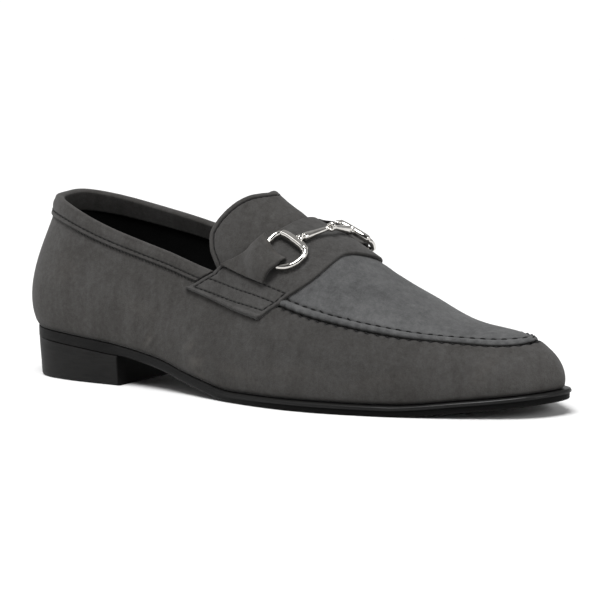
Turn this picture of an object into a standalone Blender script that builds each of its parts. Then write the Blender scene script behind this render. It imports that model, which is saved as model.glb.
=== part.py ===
"""A right bit loafer in metres: toe along +X, the wearer's left along +Y, the floor at z = 0.

Two closed curves run round the shoe: the foot line, where the upper meets the sole, and the
top line, which is the collar behind and the apron seam in front. The upper's wall joins them,
and arches over the instep join the outer and the inner half of the top line. Every strap, tab
and band is an offset of those same surfaces.
"""

from math import pi

import bpy
import numpy as np

# Driving sizes
SOLE_LENGTH = 0.300
BALL_WIDTH = 0.103
HEEL_HEIGHT = 0.021
TOPLINE_HEIGHT = 0.070
SOLE_THICKNESS = 0.0050
HEEL_LENGTH = 0.0675
UPPER_WALL = 0.0020
SEAM_LIFT = 0.0008
TONGUE_THICKNESS = 0.0024
INSOLE_THICKNESS = 0.0020
STRAP_THICKNESS = 0.0015
TAB_THICKNESS = 0.0012
COLLAR_THICKNESS = 0.0010
COLLAR_DEPTH = 0.0090
CLEARANCE = 0.0003

# Heel and sole details
HEEL_INSET = 0.0002
HEEL_TAPER = 0.0008
LIP_THICKNESS = 0.0020
LIP_REACH = 0.0008
SOLE_MARGIN = 0.0035
EDGE_BEVEL = 0.0009

# Bit
RING_WIRE = 0.0014
RING_HALF_WIDTH = 0.0107
RING_DEPTH = 0.0164
RING_LIFT = 0.0021
LINK_RADIUS = 0.0023
LINK_LIFT = 0.0042
TAB_SWELL = 0.0110
TAB_FALL = 0.0060

# Tongue
TONGUE_INSET = 0.0042
TONGUE_RISE = 0.0010
TONGUE_DROP = 0.0080
TONGUE_GAP = 0.0016

# Mesh counts
AROUND = 96
UP_THE_WALL = 7
ACROSS_PLUG = 11
RING_COUNT = 32


def table(columns, *rows):
    """Rows of figures as one array for each named column."""
    return dict(zip(columns.split(), np.array(rows, float).T))


# One row for each section from the back of the heel to the toe. Lengths are shares of
# SOLE_LENGTH, widths from the centre line shares of BALL_WIDTH, rises over the sole's upper
# face shares of TOPLINE_HEIGHT. Out is the wearer's outer side, in the inner one.
SOLE = table(
    "along out in",
    (0.000, 0.000, 0.000),
    (0.020, 0.196, 0.189),
    (0.075, 0.289, 0.295),
    (0.160, 0.318, 0.330),
    (0.270, 0.329, 0.315),
    (0.380, 0.380, 0.266),
    (0.490, 0.452, 0.270),
    (0.600, 0.490, 0.359),
    (0.700, 0.462, 0.475),
    (0.800, 0.388, 0.472),
    (0.890, 0.294, 0.363),
    (0.960, 0.184, 0.187),
    (1.000, -0.015, 0.015),
)
TOPLINE = table(
    "along out in rise_out rise_in ridge",
    (0.038, 0.000, 0.000, 0.965, 0.965, 1.600),
    (0.050, 0.114, 0.104, 0.950, 0.975, 1.600),
    (0.107, 0.206, 0.200, 0.900, 0.940, 1.600),
    (0.195, 0.232, 0.249, 0.800, 0.885, 1.590),
    (0.320, 0.241, 0.276, 0.733, 0.828, 1.560),
    (0.431, 0.265, 0.297, 0.715, 0.780, 1.360),
    (0.511, 0.320, 0.315, 0.658, 0.735, 1.147),
    (0.590, 0.357, 0.329, 0.564, 0.642, 0.993),
    (0.672, 0.358, 0.331, 0.497, 0.548, 0.785),
    (0.748, 0.299, 0.295, 0.438, 0.466, 0.628),
    (0.822, 0.232, 0.230, 0.392, 0.402, 0.481),
    (0.896, 0.149, 0.147, 0.332, 0.338, 0.404),
    (0.946, -0.010, 0.010, 0.320, 0.320, 0.335),
)
# How the wall sets out from the sole and arrives at the top line, in degrees from upright.
WALL = table(
    "foot_out foot_in lean_out lean_in",
    (29, 29, 14, 14),
    (28, 28, 14, 14),
    (21, 21, 14, 14),
    (16, 15, 15, 15),
    (15, 16, 18, 18),
    (14, 22, 25, 25),
    (11, 25, 35, 35),
    (9, 18, 40, 40),
    (7, 8, 45, 45),
    (8, 8, 48, 48),
    (9, 9, 55, 55),
    (13, 13, 62, 62),
    (18, 18, 65, 65),
)
WALL_HANDLE = 0.35
# How square the arch over the instep is, and how far its ridge leans to the inner side
ARCH_FULLNESS = 0.30
ARCH_LEAN = 0.08
# The underside of the sole above the floor, a share of HEEL_HEIGHT, how far the sole's edge
# stands out from the foot line, a share of SOLE_MARGIN, and how much of the lip it has there.
UNDERSIDE = table(
    "along rise margin lip",
    (0.00, 1.00, 0.14, 0),
    (0.08, 0.93, 0.14, 0),
    (0.22, 0.74, 0.17, 0),
    (0.31, 0.535, 0.23, 0),
    (0.40, 0.203, 0.34, 0),
    (0.49, 0.00, 0.57, 0.5),
    (0.60, 0.00, 0.71, 1),
    (0.76, 0.00, 0.86, 1),
    (0.88, 0.15, 0.91, 1),
    (1.00, 0.335, 1.00, 1),
)
# Across runs from -1 at the outer top line over the ridge at 0 to 1 at the inner top line,
# and on down the walls to -2 and 2 at the sole. Stations are shares of SOLE_LENGTH.
STRAP = table(
    "across rear front",
    (-1.23, 0.320, 0.526),
    (-1.00, 0.361, 0.563),
    (-0.94, 0.379, 0.575),
    (-0.86, 0.411, 0.594),
    (-0.74, 0.445, 0.614),
    (-0.58, 0.473, 0.628),
    (-0.38, 0.493, 0.635),
    (-0.20, 0.505, 0.638),
    (0.00, 0.511, 0.646),
    (0.20, 0.512, 0.657),
    (0.40, 0.505, 0.662),
    (0.60, 0.486, 0.655),
    (0.75, 0.460, 0.641),
    (0.86, 0.430, 0.622),
    (1.00, 0.380, 0.590),
    (1.23, 0.338, 0.552),
)
# Stations: how far behind the strap the collar band ends, and where under it the plug starts
COLLAR_STOP = 0.006
PLUG_REAR = 0.532
# Stations over which the step at the apron seam comes out from under the strap, and its least
# share of SEAM_LIFT
SEAM_START = 0.020
LEAST_STEP = 0.1
# Stations: where the tongue is fully tucked in, and how far behind the strap it is fully free
TONGUE_TUCKED = 0.36
TONGUE_FREE = 0.030
# How closely the tongue's grid lines crowd at its sides
EDGE_CROWDING = 1.4
TONGUE_EDGE = table(
    "across station",
    (-1.00, 0.378),
    (-0.92, 0.346),
    (-0.86, 0.331),
    (-0.80, 0.328),
    (-0.72, 0.336),
    (-0.62, 0.350),
    (-0.42, 0.377),
    (-0.30, 0.391),
    (-0.16, 0.405),
    (0.00, 0.415),
    (0.16, 0.418),
    (0.30, 0.411),
    (0.45, 0.394),
    (0.60, 0.371),
    (0.72, 0.351),
    (0.82, 0.339),
    (0.90, 0.346),
    (1.00, 0.378),
)
# The tab runs along the strap's rear edge from the patch to the ring. Its front edge: shares
# of the way up, stations from the ring's own, and how far across.
TAB_FRONT = table(
    "up station across",
    (0.00, -0.018, 0.920),
    (0.35, -0.004, 0.830),
    (0.70, 0.010, 0.735),
    (1.00, 0.013, 0.640),
)
TAB_FOOT = 0.94
TAB_TIP = 0.555
TAB_EDGE = 0.005
TAB_HOLLOW = 0.030
RING_STATION_OUT = 0.536
RING_STATION_IN = 0.585
RING_ACROSS = 0.615
RING_TURN = 0.11
LINK_STATION = 0.588
# How far down the ring its widest place is, a share of its depth, and how square its corners
RING_SHOULDER = 0.40
CORNER_POWER = 3.5
# How round the ends of the link are: the least share of LINK_RADIUS
LINK_TIP = 0.12
# A mouthpiece from the ring's bar to the link: shares of its length and of LINK_RADIUS.
MOUTHPIECE = table(
    "along radius",
    (0.00, 0.50),
    (0.05, 0.88),
    (0.14, 0.88),
    (0.19, 0.62),
    (0.25, 0.72),
    (0.50, 0.62),
    (0.80, 0.52),
    (0.93, 0.48),
    (1.00, 0.40),
)

SUEDE = ((0.075, 0.074, 0.071, 1), 0.92, 0.0)
SOLE_BLACK = ((0.018, 0.018, 0.018, 1), 0.45, 0.0)
LINING = ((0.012, 0.012, 0.013, 1), 0.8, 0.0)
STEEL = ((0.72, 0.71, 0.69, 1), 0.18, 1.0)


def clear_scene():
    for old in list(bpy.data.objects):
        bpy.data.objects.remove(old, do_unlink=True)


def solid(name, points, faces, finish):
    """One object from points and faces that close it, facing out, with its material."""
    mesh = bpy.data.meshes.new(name)
    mesh.from_pydata([tuple(p) for p in points], [], [tuple(f) for f in faces])
    mesh.update()
    material = bpy.data.materials.new(name)
    material.use_nodes = True
    shader = material.node_tree.nodes["Principled BSDF"]
    colour, roughness, metallic = finish
    shader.inputs["Base Color"].default_value = colour
    shader.inputs["Roughness"].default_value = roughness
    shader.inputs["Metallic"].default_value = metallic
    mesh.materials.append(material)
    made = bpy.data.objects.new(name, mesh)
    bpy.context.scene.collection.objects.link(made)
    return made


def smooth(knots, values, at):
    """A curve through the knots that never overshoots a value between two of them."""
    gaps = np.diff(knots)
    slopes = np.diff(values) / gaps
    tangents = np.zeros_like(values)
    for i in range(1, len(knots) - 1):
        before, after = slopes[i - 1], slopes[i]
        if before * after > 0:
            far = 2 * gaps[i] + gaps[i - 1]
            near = gaps[i] + 2 * gaps[i - 1]
            tangents[i] = (far + near) / (far / before + near / after)
    tangents[0], tangents[-1] = slopes[0], slopes[-1]
    at = np.clip(np.asarray(at, float), knots[0], knots[-1])
    i = np.clip(np.searchsorted(knots, at) - 1, 0, len(gaps) - 1)
    t = (at - knots[i]) / gaps[i]
    return (
        (2 * t**3 - 3 * t**2 + 1) * values[i]
        + (t**3 - 2 * t**2 + t) * gaps[i] * tangents[i]
        + (3 * t**2 - 2 * t**3) * values[i + 1]
        + (t**3 - t**2) * gaps[i] * tangents[i + 1]
    )


def closed_spline(knots, values, at):
    """A curve with even curvature through values at angles round a loop."""
    count = len(knots)
    gaps = np.diff(np.append(knots, knots[0] + 2 * pi))
    matrix = np.zeros((count, count))
    right = np.zeros(values.shape)
    for i in range(count):
        before, after = (i - 1) % count, (i + 1) % count
        matrix[i, before] += gaps[before]
        matrix[i, i] += 2 * (gaps[before] + gaps[i])
        matrix[i, after] += gaps[i]
        rise = (values[after] - values[i]) / gaps[i]
        fall = (values[i] - values[before]) / gaps[before]
        right[i] = 6 * (rise - fall)
    bends = np.linalg.solve(matrix, right)
    at = np.mod(at, 2 * pi)
    i = np.clip(np.searchsorted(knots, at, side="right") - 1, 0, count - 1)
    j = (i + 1) % count
    gap = gaps[i][:, None]
    u = (at - knots[i])[:, None]
    v = gap - u
    return (
        (bends[i] * v**3 + bends[j] * u**3) / (6 * gap)
        + (values[i] / gap - bends[i] * gap / 6) * v
        + (values[j] / gap - bends[j] * gap / 6) * u
    )


def round_loop(out_side, in_side):
    """Values down the outer side to the toe and back along the inner side to the heel."""
    return np.concatenate([out_side, in_side[-2:0:-1]])


def angle_of(station):
    """Where a share of the sole's length lies on the loop, on the outer side."""
    return np.arccos(1 - 2 * np.clip(station, 0, 1))


SECTION_ANGLES = round_loop(angle_of(SOLE["along"]), 2 * pi - angle_of(SOLE["along"]))
LOOP_VALUES = np.stack(
    [
        round_loop(SOLE["along"], SOLE["along"]) * SOLE_LENGTH,
        round_loop(-SOLE["out"], SOLE["in"]) * BALL_WIDTH,
        round_loop(TOPLINE["along"], TOPLINE["along"]) * SOLE_LENGTH,
        round_loop(-TOPLINE["out"], TOPLINE["in"]) * BALL_WIDTH,
        round_loop(TOPLINE["rise_out"], TOPLINE["rise_in"]) * TOPLINE_HEIGHT,
        round_loop(TOPLINE["ridge"], TOPLINE["ridge"]) * TOPLINE_HEIGHT,
        round_loop(WALL["foot_out"], WALL["foot_in"]) * pi / 180,
        round_loop(WALL["lean_out"], WALL["lean_in"]) * pi / 180,
    ],
    axis=1,
)


def along_sole(column, x):
    return smooth(UNDERSIDE["along"], UNDERSIDE[column], np.asarray(x) / SOLE_LENGTH)


def underside(x):
    return HEEL_HEIGHT * along_sole("rise", x)


def sole_top(x):
    return underside(x) + SOLE_THICKNESS


def outward(plan, angles):
    """The level direction out of a loop in plan, from its curve a small step either way."""
    step = 1e-3
    ahead = closed_spline(SECTION_ANGLES, LOOP_VALUES, angles + step)[:, plan]
    behind = closed_spline(SECTION_ANGLES, LOOP_VALUES, angles - step)[:, plan]
    along = ahead - behind
    along /= np.linalg.norm(along, axis=1)[:, None]
    return np.column_stack([along[:, 1], -along[:, 0]])


def sole_edge(angles, inset=0.0):
    """The sole's outline in plan, moved in by inset."""
    values = closed_spline(SECTION_ANGLES, LOOP_VALUES, angles)
    return values[:, :2] - outward([0, 1], angles) * np.reshape(inset, (-1, 1))


def foot_margin(x):
    """How far in from the sole's edge the upper's foot line runs."""
    return SOLE_MARGIN * along_sole("margin", x)


def wall_frame(angles):
    """The foot and top lines and the two handles that bend the wall between them."""
    values = closed_spline(SECTION_ANGLES, LOOP_VALUES, angles)
    level_foot = outward([0, 1], angles)
    level_top = outward([2, 3], angles)
    foot_plan = values[:, :2] - level_foot * foot_margin(values[:, 0])[:, None]
    foot = np.column_stack([foot_plan, sole_top(foot_plan[:, 0]) + CLEARANCE])
    top = np.column_stack([values[:, 2:4], sole_top(values[:, 2]) + values[:, 4]])
    reach = WALL_HANDLE * np.linalg.norm(top - foot, axis=1)[:, None]
    flare, lean = values[:, 6], values[:, 7]
    leave = np.column_stack([level_foot * np.sin(flare)[:, None], np.cos(flare)])
    arrive = np.column_stack([-level_top * np.sin(lean)[:, None], np.cos(lean)])
    return foot, foot + leave * reach, top - arrive * reach, top


def wall_at(angles, up):
    """Points on the outer face of the wall, up from 0 at the sole to 1 at the top line."""
    foot, low, high, top = wall_frame(np.ravel(angles))
    up = np.ravel(up)[:, None]
    down = 1 - up
    return (
        down**3 * foot
        + 3 * down**2 * up * low
        + 3 * down * up**2 * high
        + up**3 * top
    )


def arch_at(stations, across, inset=0.0, drop=0.0):
    """Points on the arch over the instep, its feet moved in and down from the top line."""
    stations, across = np.ravel(stations), np.ravel(across)
    feet = []
    for angles in (angle_of(stations), 2 * pi - angle_of(stations)):
        values = closed_spline(SECTION_ANGLES, LOOP_VALUES, angles)
        plan = values[:, 2:4] - outward([2, 3], angles) * np.reshape(inset, (-1, 1))
        height = sole_top(values[:, 2]) + values[:, 4] - drop
        feet.append(np.column_stack([plan, height]))
    ridge = sole_top(values[:, 2]) + values[:, 5]
    share = (across[:, None] + 1) / 2
    points = feet[0] * (1 - share) + feet[1] * share
    middle = (feet[0][:, 2] + feet[1][:, 2]) / 2
    from_ridge = across - ARCH_LEAN * (1 - across**2)
    fall = (1 - ARCH_FULLNESS) * from_ridge**2 + ARCH_FULLNESS * from_ridge**4
    points[:, 2] += (ridge - middle) * (1 - fall)
    return points


def upper_at(stations, across):
    """Points on the upper's outer face anywhere from sole to sole over the instep."""
    stations, across = np.ravel(stations), np.ravel(across)
    side = np.abs(across) > 1
    angles = np.where(across < 0, angle_of(stations), 2 * pi - angle_of(stations))
    on_wall = wall_at(angles, np.clip(2 - np.abs(across), 0, 1))
    on_arch = arch_at(stations, np.clip(across, -1, 1))
    return np.where(side[:, None], on_wall, on_arch)


def grid_normals(grid):
    """Unit normals of a grid of points, facing the way its rows turn into its columns."""
    normal = np.cross(np.gradient(grid, axis=0), np.gradient(grid, axis=1))
    return normal / np.linalg.norm(normal, axis=2)[..., None]


def grid_faces(rows, columns, start=0, wrap=False):
    """Quads between neighbours in a grid of points numbered row by row."""
    faces = []
    for r in range(rows - 1):
        for c in range(columns if wrap else columns - 1):
            a = start + r * columns + c
            b = start + r * columns + (c + 1) % columns
            faces.append((a, b, b + columns, a + columns))
    return faces


def slab(name, outer, inner, finish):
    """A sheet between two grids of points: outer, seen from outside, and inner behind it."""
    rows, columns = outer.shape[:2]
    count = rows * columns
    points = np.concatenate([outer.reshape(-1, 3), inner.reshape(-1, 3)])
    faces = [tuple(reversed(face)) for face in grid_faces(rows, columns)]
    faces += [tuple(i + count for i in reversed(face)) for face in faces]
    rim = list(range(columns))
    rim += [r * columns + columns - 1 for r in range(1, rows)]
    rim += [(rows - 1) * columns + c for c in range(columns - 2, -1, -1)]
    rim += [r * columns for r in range(rows - 2, 0, -1)]
    for a, b in zip(rim, rim[1:] + rim[:1]):
        faces.append((a, b, b + count, a + count))
    return solid(name, points, faces, finish)


def stacked(name, rings, finish):
    """A solid from loops of AROUND points, lowest first, closed by rungs across the loop."""
    count = len(rings[0])
    points = np.concatenate(rings)
    faces = grid_faces(len(rings), count, wrap=True)
    top = (len(rings) - 1) * count
    for i in range(count // 2):
        here, there = (i, i + 1), ((count - i) % count, count - i - 1)
        low = [here[0], there[0], there[1], here[1]]
        low = list(dict.fromkeys(low))
        if len(low) > 2:
            faces.append(tuple(low))
            faces.append(tuple(top + v for v in reversed(low)))
    return solid(name, points, faces, finish)


def make_outsole():
    angles = np.linspace(0, 2 * pi, AROUND, endpoint=False)
    lip_foot = SOLE_THICKNESS - LIP_THICKNESS
    under_lip = LIP_REACH * along_sole("lip", sole_edge(angles)[:, 0])
    profile = (
        (under_lip + EDGE_BEVEL, 0.0),
        (under_lip, EDGE_BEVEL),
        (under_lip, lip_foot - LIP_REACH),
        (0.0, lip_foot),
        (0.0, SOLE_THICKNESS - EDGE_BEVEL),
        (EDGE_BEVEL, SOLE_THICKNESS),
    )
    rings = []
    for inset, height in profile:
        plan = sole_edge(angles, inset)
        rings.append(np.column_stack([plan, underside(plan[:, 0]) + height]))
    stacked("outsole", rings, SOLE_BLACK)


def make_heel():
    breast = angle_of(np.interp(HEEL_LENGTH, SOLE["along"] * SOLE_LENGTH, SOLE["along"]))
    side = np.linspace(0, breast, AROUND // 6 + 1)
    angles = np.concatenate([side, 2 * pi - side[:0:-1]])
    rings = []
    for taper, height in ((HEEL_TAPER + EDGE_BEVEL, 0.0), (HEEL_TAPER, EDGE_BEVEL), (0.0, None)):
        plan = sole_edge(angles, HEEL_INSET + taper)
        under = underside(plan[:, 0]) - CLEARANCE
        level = under if height is None else np.full(len(under), height)
        rings.append(np.column_stack([plan, level]))
    stacked("heel", rings, SOLE_BLACK)


def make_insole():
    angles = np.linspace(0, 2 * pi, AROUND // 2, endpoint=False)
    margin = foot_margin(sole_edge(angles)[:, 0]) + UPPER_WALL + 2 * CLEARANCE
    plan = sole_edge(angles, margin)
    rings = []
    for height in (CLEARANCE, CLEARANCE + INSOLE_THICKNESS):
        rings.append(np.column_stack([plan, sole_top(plan[:, 0]) + height]))
    stacked("insole", rings, LINING)


def make_upper():
    """One hollow solid: the wall all round, and the plug over it in front of the opening."""
    step = 2 * pi / AROUND
    angles = np.arange(AROUND) * step
    rows = [wall_at(angles, np.full(AROUND, up)) for up in np.linspace(0, 1, UP_THE_WALL + 1)]
    points = list(np.concatenate(rows))
    faces = grid_faces(UP_THE_WALL + 1, AROUND, wrap=True)
    top = UP_THE_WALL * AROUND
    first = int(round(float(angle_of(PLUG_REAR)) / step))
    toe = AROUND // 2
    across = np.linspace(-1, 1, ACROSS_PLUG + 2)
    plug_rows = []
    for i in range(first, toe):
        station = (1 - np.cos(i * step)) / 2
        row = [top + i]
        arch, normal = strap_surface(np.full(ACROSS_PLUG + 2, station), across, 0.0)
        ahead = station - smooth(STRAP["across"], STRAP["front"], across)
        shown = np.clip(ahead / SEAM_START - 0.5, LEAST_STEP, 1)
        lift = SEAM_LIFT * (np.abs(across) == 1) * shown
        for point in arch + normal * lift[:, None]:
            row.append(len(points))
            points.append(point)
        plug_rows.append(row + [top + AROUND - i])
    for near, far in zip(plug_rows, plug_rows[1:]):
        for a, b, c, d in zip(near, near[1:], far[1:], far):
            faces.append((a, d, c, b))
    for a, b in zip(plug_rows[-1], plug_rows[-1][1:]):
        faces.append((a, top + toe, b))
    opening = [top + i for i in range(first, 0, -1)] + [top]
    opening += [top + AROUND - i for i in range(1, first + 1)]
    opening += plug_rows[0][-2:0:-1]
    foot = list(range(AROUND))

    points = np.array(points)
    normals = np.zeros_like(points)
    for face in faces:
        corners = points[list(face)]
        normal = np.cross(corners[1] - corners[0], corners[-1] - corners[0])
        normals[list(face)] += normal / np.linalg.norm(normal)
    normals /= np.linalg.norm(normals, axis=1)[:, None]
    inner = points - normals * UPPER_WALL
    level = normals[foot, :2] / np.linalg.norm(normals[foot, :2], axis=1)[:, None]
    inner[foot, :2] = points[foot, :2] - level * UPPER_WALL
    inner[foot, 2] = sole_top(inner[foot, 0]) + CLEARANCE
    count = len(points)
    faces += [tuple(v + count for v in reversed(face)) for face in faces]
    for a, b in zip(foot, foot[1:] + foot[:1]):
        faces.append((b, a, a + count, b + count))
    for a, b in zip(opening, opening[1:] + opening[:1]):
        faces.append((b, a, a + count, b + count))
    solid("upper", np.concatenate([points, inner]), faces, SUEDE)


def strap_rear(across):
    return smooth(STRAP["across"], STRAP["rear"], across)


def make_collar_band():
    """A folded band over the top edge, from the strap's rear edge round the heel and back."""
    stations = 39
    legs = 4
    rise = np.linspace(1, 0, legs)
    share = np.linspace(-1, 1, stations)
    wall_height = np.linalg.norm(np.diff(wall_at([0.0, 0.0], [0.0, 1.0]), axis=0))
    rings = []
    for t in share:
        side = -1 if t < 0 else 1
        ring_out, ring_in = [], []
        for down in rise:
            up = 1 - down * COLLAR_DEPTH / wall_height
            across = side * (2 - up)
            end = float(angle_of(strap_rear(across) - COLLAR_STOP))
            angle = end * abs(t)
            angle = angle if side < 0 else 2 * pi - angle
            here = wall_at([angle, angle, angle + 1e-3], [up, up - 1e-3, up])
            up_way = here[0] - here[1]
            up_way /= np.linalg.norm(up_way)
            normal = np.cross(here[2] - here[0], up_way)
            normal /= np.linalg.norm(normal)
            ring_out.append((here[0], normal, up_way))
        face, fold = CLEARANCE, CLEARANCE + COLLAR_THICKNESS
        back = UPPER_WALL + CLEARANCE
        outer = [p + n * fold for p, n, _ in ring_out]
        last, normal, up_way = ring_out[-1]
        outer.append(last + normal * (face - UPPER_WALL / 2) / 2 + up_way * fold)
        outer.append(last - normal * (UPPER_WALL - CLEARANCE) + up_way * fold)
        outer += [p - n * (back + COLLAR_THICKNESS) for p, n, _ in ring_out[::-1]]
        near = [p + n * face for p, n, _ in ring_out]
        near[-1] = near[-1] + up_way * face
        far = [p - n * back for p, n, _ in ring_out]
        far[-1] = far[-1] + up_way * face
        rings.append(outer + far + near[::-1])
    grid = np.array(rings)
    count, across_count = grid.shape[:2]
    faces = grid_faces(count, across_count, wrap=True)
    cap = list(range(across_count))
    pairs = across_count // 2
    for start, flip in ((0, False), ((count - 1) * across_count, True)):
        for i in range(pairs - 1):
            quad = (cap[i], cap[i + 1], cap[-2 - i], cap[-1 - i])
            quad = tuple(start + v for v in quad)
            faces.append(quad if flip else tuple(reversed(quad)))
    solid("collar_band", grid.reshape(-1, 3), faces, SUEDE)


def tongue_at(stations, across):
    """Points on the tongue's outer face, which drops inside the collar towards the rear."""
    step = 2 * pi / AROUND
    plug_rear = (1 - np.cos(round(float(angle_of(PLUG_REAR)) / step) * step)) / 2
    front = plug_rear - TONGUE_GAP / SOLE_LENGTH
    tuck = np.clip((front - stations) / (front - TONGUE_TUCKED), 0, 1)
    against = UPPER_WALL + 2 * CLEARANCE
    inset = against + (TONGUE_INSET - against) * tuck
    points = arch_at(stations, across, np.ravel(inset), np.ravel(tuck) * TONGUE_DROP)
    free = np.clip((strap_rear(across) - stations) / TONGUE_FREE, 0, 1)
    points[:, 2] += TONGUE_RISE * np.ravel(free)
    return points, front


def make_tongue():
    """The standing rear of the plug, tucked inside the collar below its free edge."""
    even = np.linspace(-1, 1, 19)
    across = np.sign(even) * (1 - (1 - np.abs(even)) ** EDGE_CROWDING)
    along = np.linspace(0, 1, 11)
    rear = smooth(TONGUE_EDGE["across"], TONGUE_EDGE["station"], across)
    front = tongue_at(rear, across)[1]
    station = rear[None] + (front - rear[None]) * along[:, None]
    wide = np.broadcast_to(across[None], station.shape)
    outer = tongue_at(station.ravel(), wide.ravel())[0].reshape(*station.shape, 3)
    inner = outer - grid_normals(outer) * TONGUE_THICKNESS
    slab("tongue", outer, inner, SUEDE)


def strap_surface(stations, across, lift):
    """Points at lift over the upper's outer face, and the way out there."""
    stations, across = np.ravel(stations), np.ravel(across)
    here = upper_at(stations, across)
    step = 2e-3
    along = upper_at(stations + step, across) - upper_at(stations - step, across)
    over = upper_at(stations, across + step) - upper_at(stations, across - step)
    normal = np.cross(along, over)
    normal /= np.linalg.norm(normal, axis=1)[:, None]
    return here + normal * np.reshape(lift, (-1, 1)), normal


def make_saddle_strap():
    first, last = STRAP["across"][[0, -1]]
    over = np.linspace(-1, 1, 21)[1:-1]
    across = np.concatenate([np.linspace(first, -1, 4), over, np.linspace(1, last, 4)])
    along = np.linspace(0, 1, 9)
    rear = strap_rear(across)
    front = smooth(STRAP["across"], STRAP["front"], across)
    station = rear[None] + (front - rear)[None] * along[:, None]
    wide = np.broadcast_to(across[None], station.shape)
    shape = (len(along), len(across), 3)
    outer = strap_surface(station, wide, CLEARANCE + STRAP_THICKNESS)[0].reshape(shape)
    inner = strap_surface(station, wide, CLEARANCE)[0].reshape(shape)
    slab("saddle_strap", outer, inner, SUEDE)


def ring_frame(side):
    """Centre of the ring's bar, its way along the shoe, its way down to the arc, its normal."""
    station = RING_STATION_OUT if side < 0 else RING_STATION_IN
    lift = CLEARANCE + STRAP_THICKNESS + RING_LIFT
    centre, normal = strap_surface([station], [side * RING_ACROSS], lift)
    centre, normal = centre[0], normal[0]
    ahead = upper_at([station + 0.01], [side * RING_ACROSS])[0]
    level = ahead - upper_at([station - 0.01], [side * RING_ACROSS])[0]
    level -= normal * (level @ normal)
    level /= np.linalg.norm(level)
    fall = np.cross(level, normal) * -side
    along = level * np.cos(RING_TURN) + fall * np.sin(RING_TURN)
    down = fall * np.cos(RING_TURN) - level * np.sin(RING_TURN)
    return centre - down * RING_DEPTH / 2, along, down, normal


def ring_line(side):
    """The centre line of the ring: a straight bar with round corners and a deep arc."""
    bar, along, down, _ = ring_frame(side)
    turn = np.arange(RING_COUNT) * 2 * pi / RING_COUNT
    over, under = np.cos(turn), np.sin(turn)
    arc = under > 0
    power = np.where(arc, 2.0, CORNER_POWER)
    size = (np.abs(over) ** power + np.abs(under) ** power) ** (-1 / power)
    shoulder = RING_DEPTH * RING_SHOULDER
    reach = np.where(arc, RING_DEPTH - shoulder, shoulder)
    wide = RING_HALF_WIDTH * size * over
    deep = shoulder + reach * size * under
    return bar + along * wide[:, None] + down * deep[:, None]


def make_ring(name, side):
    line = ring_line(side)
    normal = ring_frame(side)[3]
    sides = 8
    grid = []
    for i, here in enumerate(line):
        way = line[(i + 1) % len(line)] - line[i - 1]
        way /= np.linalg.norm(way)
        out = np.cross(way, normal)
        turn = np.arange(sides) * 2 * pi / sides
        grid.append([here + RING_WIRE * (out * np.cos(a) + normal * np.sin(a)) for a in turn])
    grid = np.array(grid)
    rows = len(grid)
    faces = []
    for r in range(rows):
        for c in range(sides):
            a, b = r * sides + c, r * sides + (c + 1) % sides
            c2, d = (r + 1) % rows * sides + (c + 1) % sides, (r + 1) % rows * sides + c
            faces.append((a, d, c2, b))
    solid(name, grid.reshape(-1, 3), faces, STEEL)


def tab_surface(side, up, wide):
    """Points and normals of a tab's bed on the strap, for shares up it and across it."""
    station = RING_STATION_OUT if side < 0 else RING_STATION_IN
    rear_across = TAB_FOOT + (TAB_TIP - TAB_FOOT) * up
    rear = strap_rear(side * rear_across) + TAB_EDGE
    front_across = smooth(TAB_FRONT["up"], TAB_FRONT["across"], up)
    front = station + smooth(TAB_FRONT["up"], TAB_FRONT["station"], up)
    share = (wide + 1) / 2
    stations = rear + (front - rear) * share
    across = rear_across + (front_across - rear_across) * share
    across = across + TAB_HOLLOW * up * (1 - wide**2)
    return strap_surface(stations, side * across, CLEARANCE + STRAP_THICKNESS)


def tab_lift(side, base):
    """How high the inner face of a tab stands at points of its bed, to clear the ring."""
    line = ring_line(side)
    normal = ring_frame(side)[3]
    offset = line[None] - base[:, None]
    height = offset @ normal
    level = np.linalg.norm(offset - height[..., None] * normal, axis=2)
    pick = np.arange(len(base)), level.argmin(axis=1)
    middle = line.mean(axis=0)
    arm = line[pick[1]] - middle
    outside = np.sum((base - middle) * arm, axis=1) > np.sum(arm * arm, axis=1)
    beyond = (level[pick] - RING_WIRE) / np.where(outside, TAB_SWELL, TAB_FALL)
    beyond = np.clip(beyond, 0, 1)
    crown = np.maximum(height[pick], 0) + RING_WIRE + 2 * CLEARANCE
    return CLEARANCE + (crown - CLEARANCE) * np.cos(beyond * pi / 2) ** 2


def make_tab(name, side):
    """A tab on the strap that swells over the ring's arc and ends inside the ring."""
    up, wide = np.meshgrid(np.linspace(0, 1, 15), np.linspace(-1, 1, 11), indexing="ij")
    base, normal = tab_surface(side, up.ravel(), wide.ravel())
    lift = tab_lift(side, base)[:, None]
    inner = (base + normal * lift).reshape(*up.shape, 3)
    outer = (base + normal * (lift + TAB_THICKNESS)).reshape(*up.shape, 3)
    if side > 0:
        outer, inner = outer[::-1], inner[::-1]
    slab(name, outer[:, ::-1], inner[:, ::-1], SUEDE)


def link_centre():
    lift = CLEARANCE + STRAP_THICKNESS + LINK_LIFT
    return strap_surface([LINK_STATION], [0.0], lift)[0][0]


def turned(name, start, end, along, radius, finish, sides=12):
    """A turned piece between two points, its radii given at shares of the way."""
    way = end - start
    axis = way / np.linalg.norm(way)
    level = np.cross(axis, (0, 0, 1))
    level /= np.linalg.norm(level)
    over = np.cross(level, axis)
    turn = np.arange(sides) * 2 * pi / sides
    points = []
    for share, size in zip(along, radius):
        for a in turn:
            spoke = level * np.cos(a) + over * np.sin(a)
            points.append(start + way * share + spoke * size)
    rows = len(along)
    faces = [tuple(reversed(face)) for face in grid_faces(rows, sides, wrap=True)]
    faces.append(tuple(range(sides)))
    faces.append(tuple((rows - 1) * sides + i for i in reversed(range(sides))))
    return solid(name, points, faces, finish)


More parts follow.
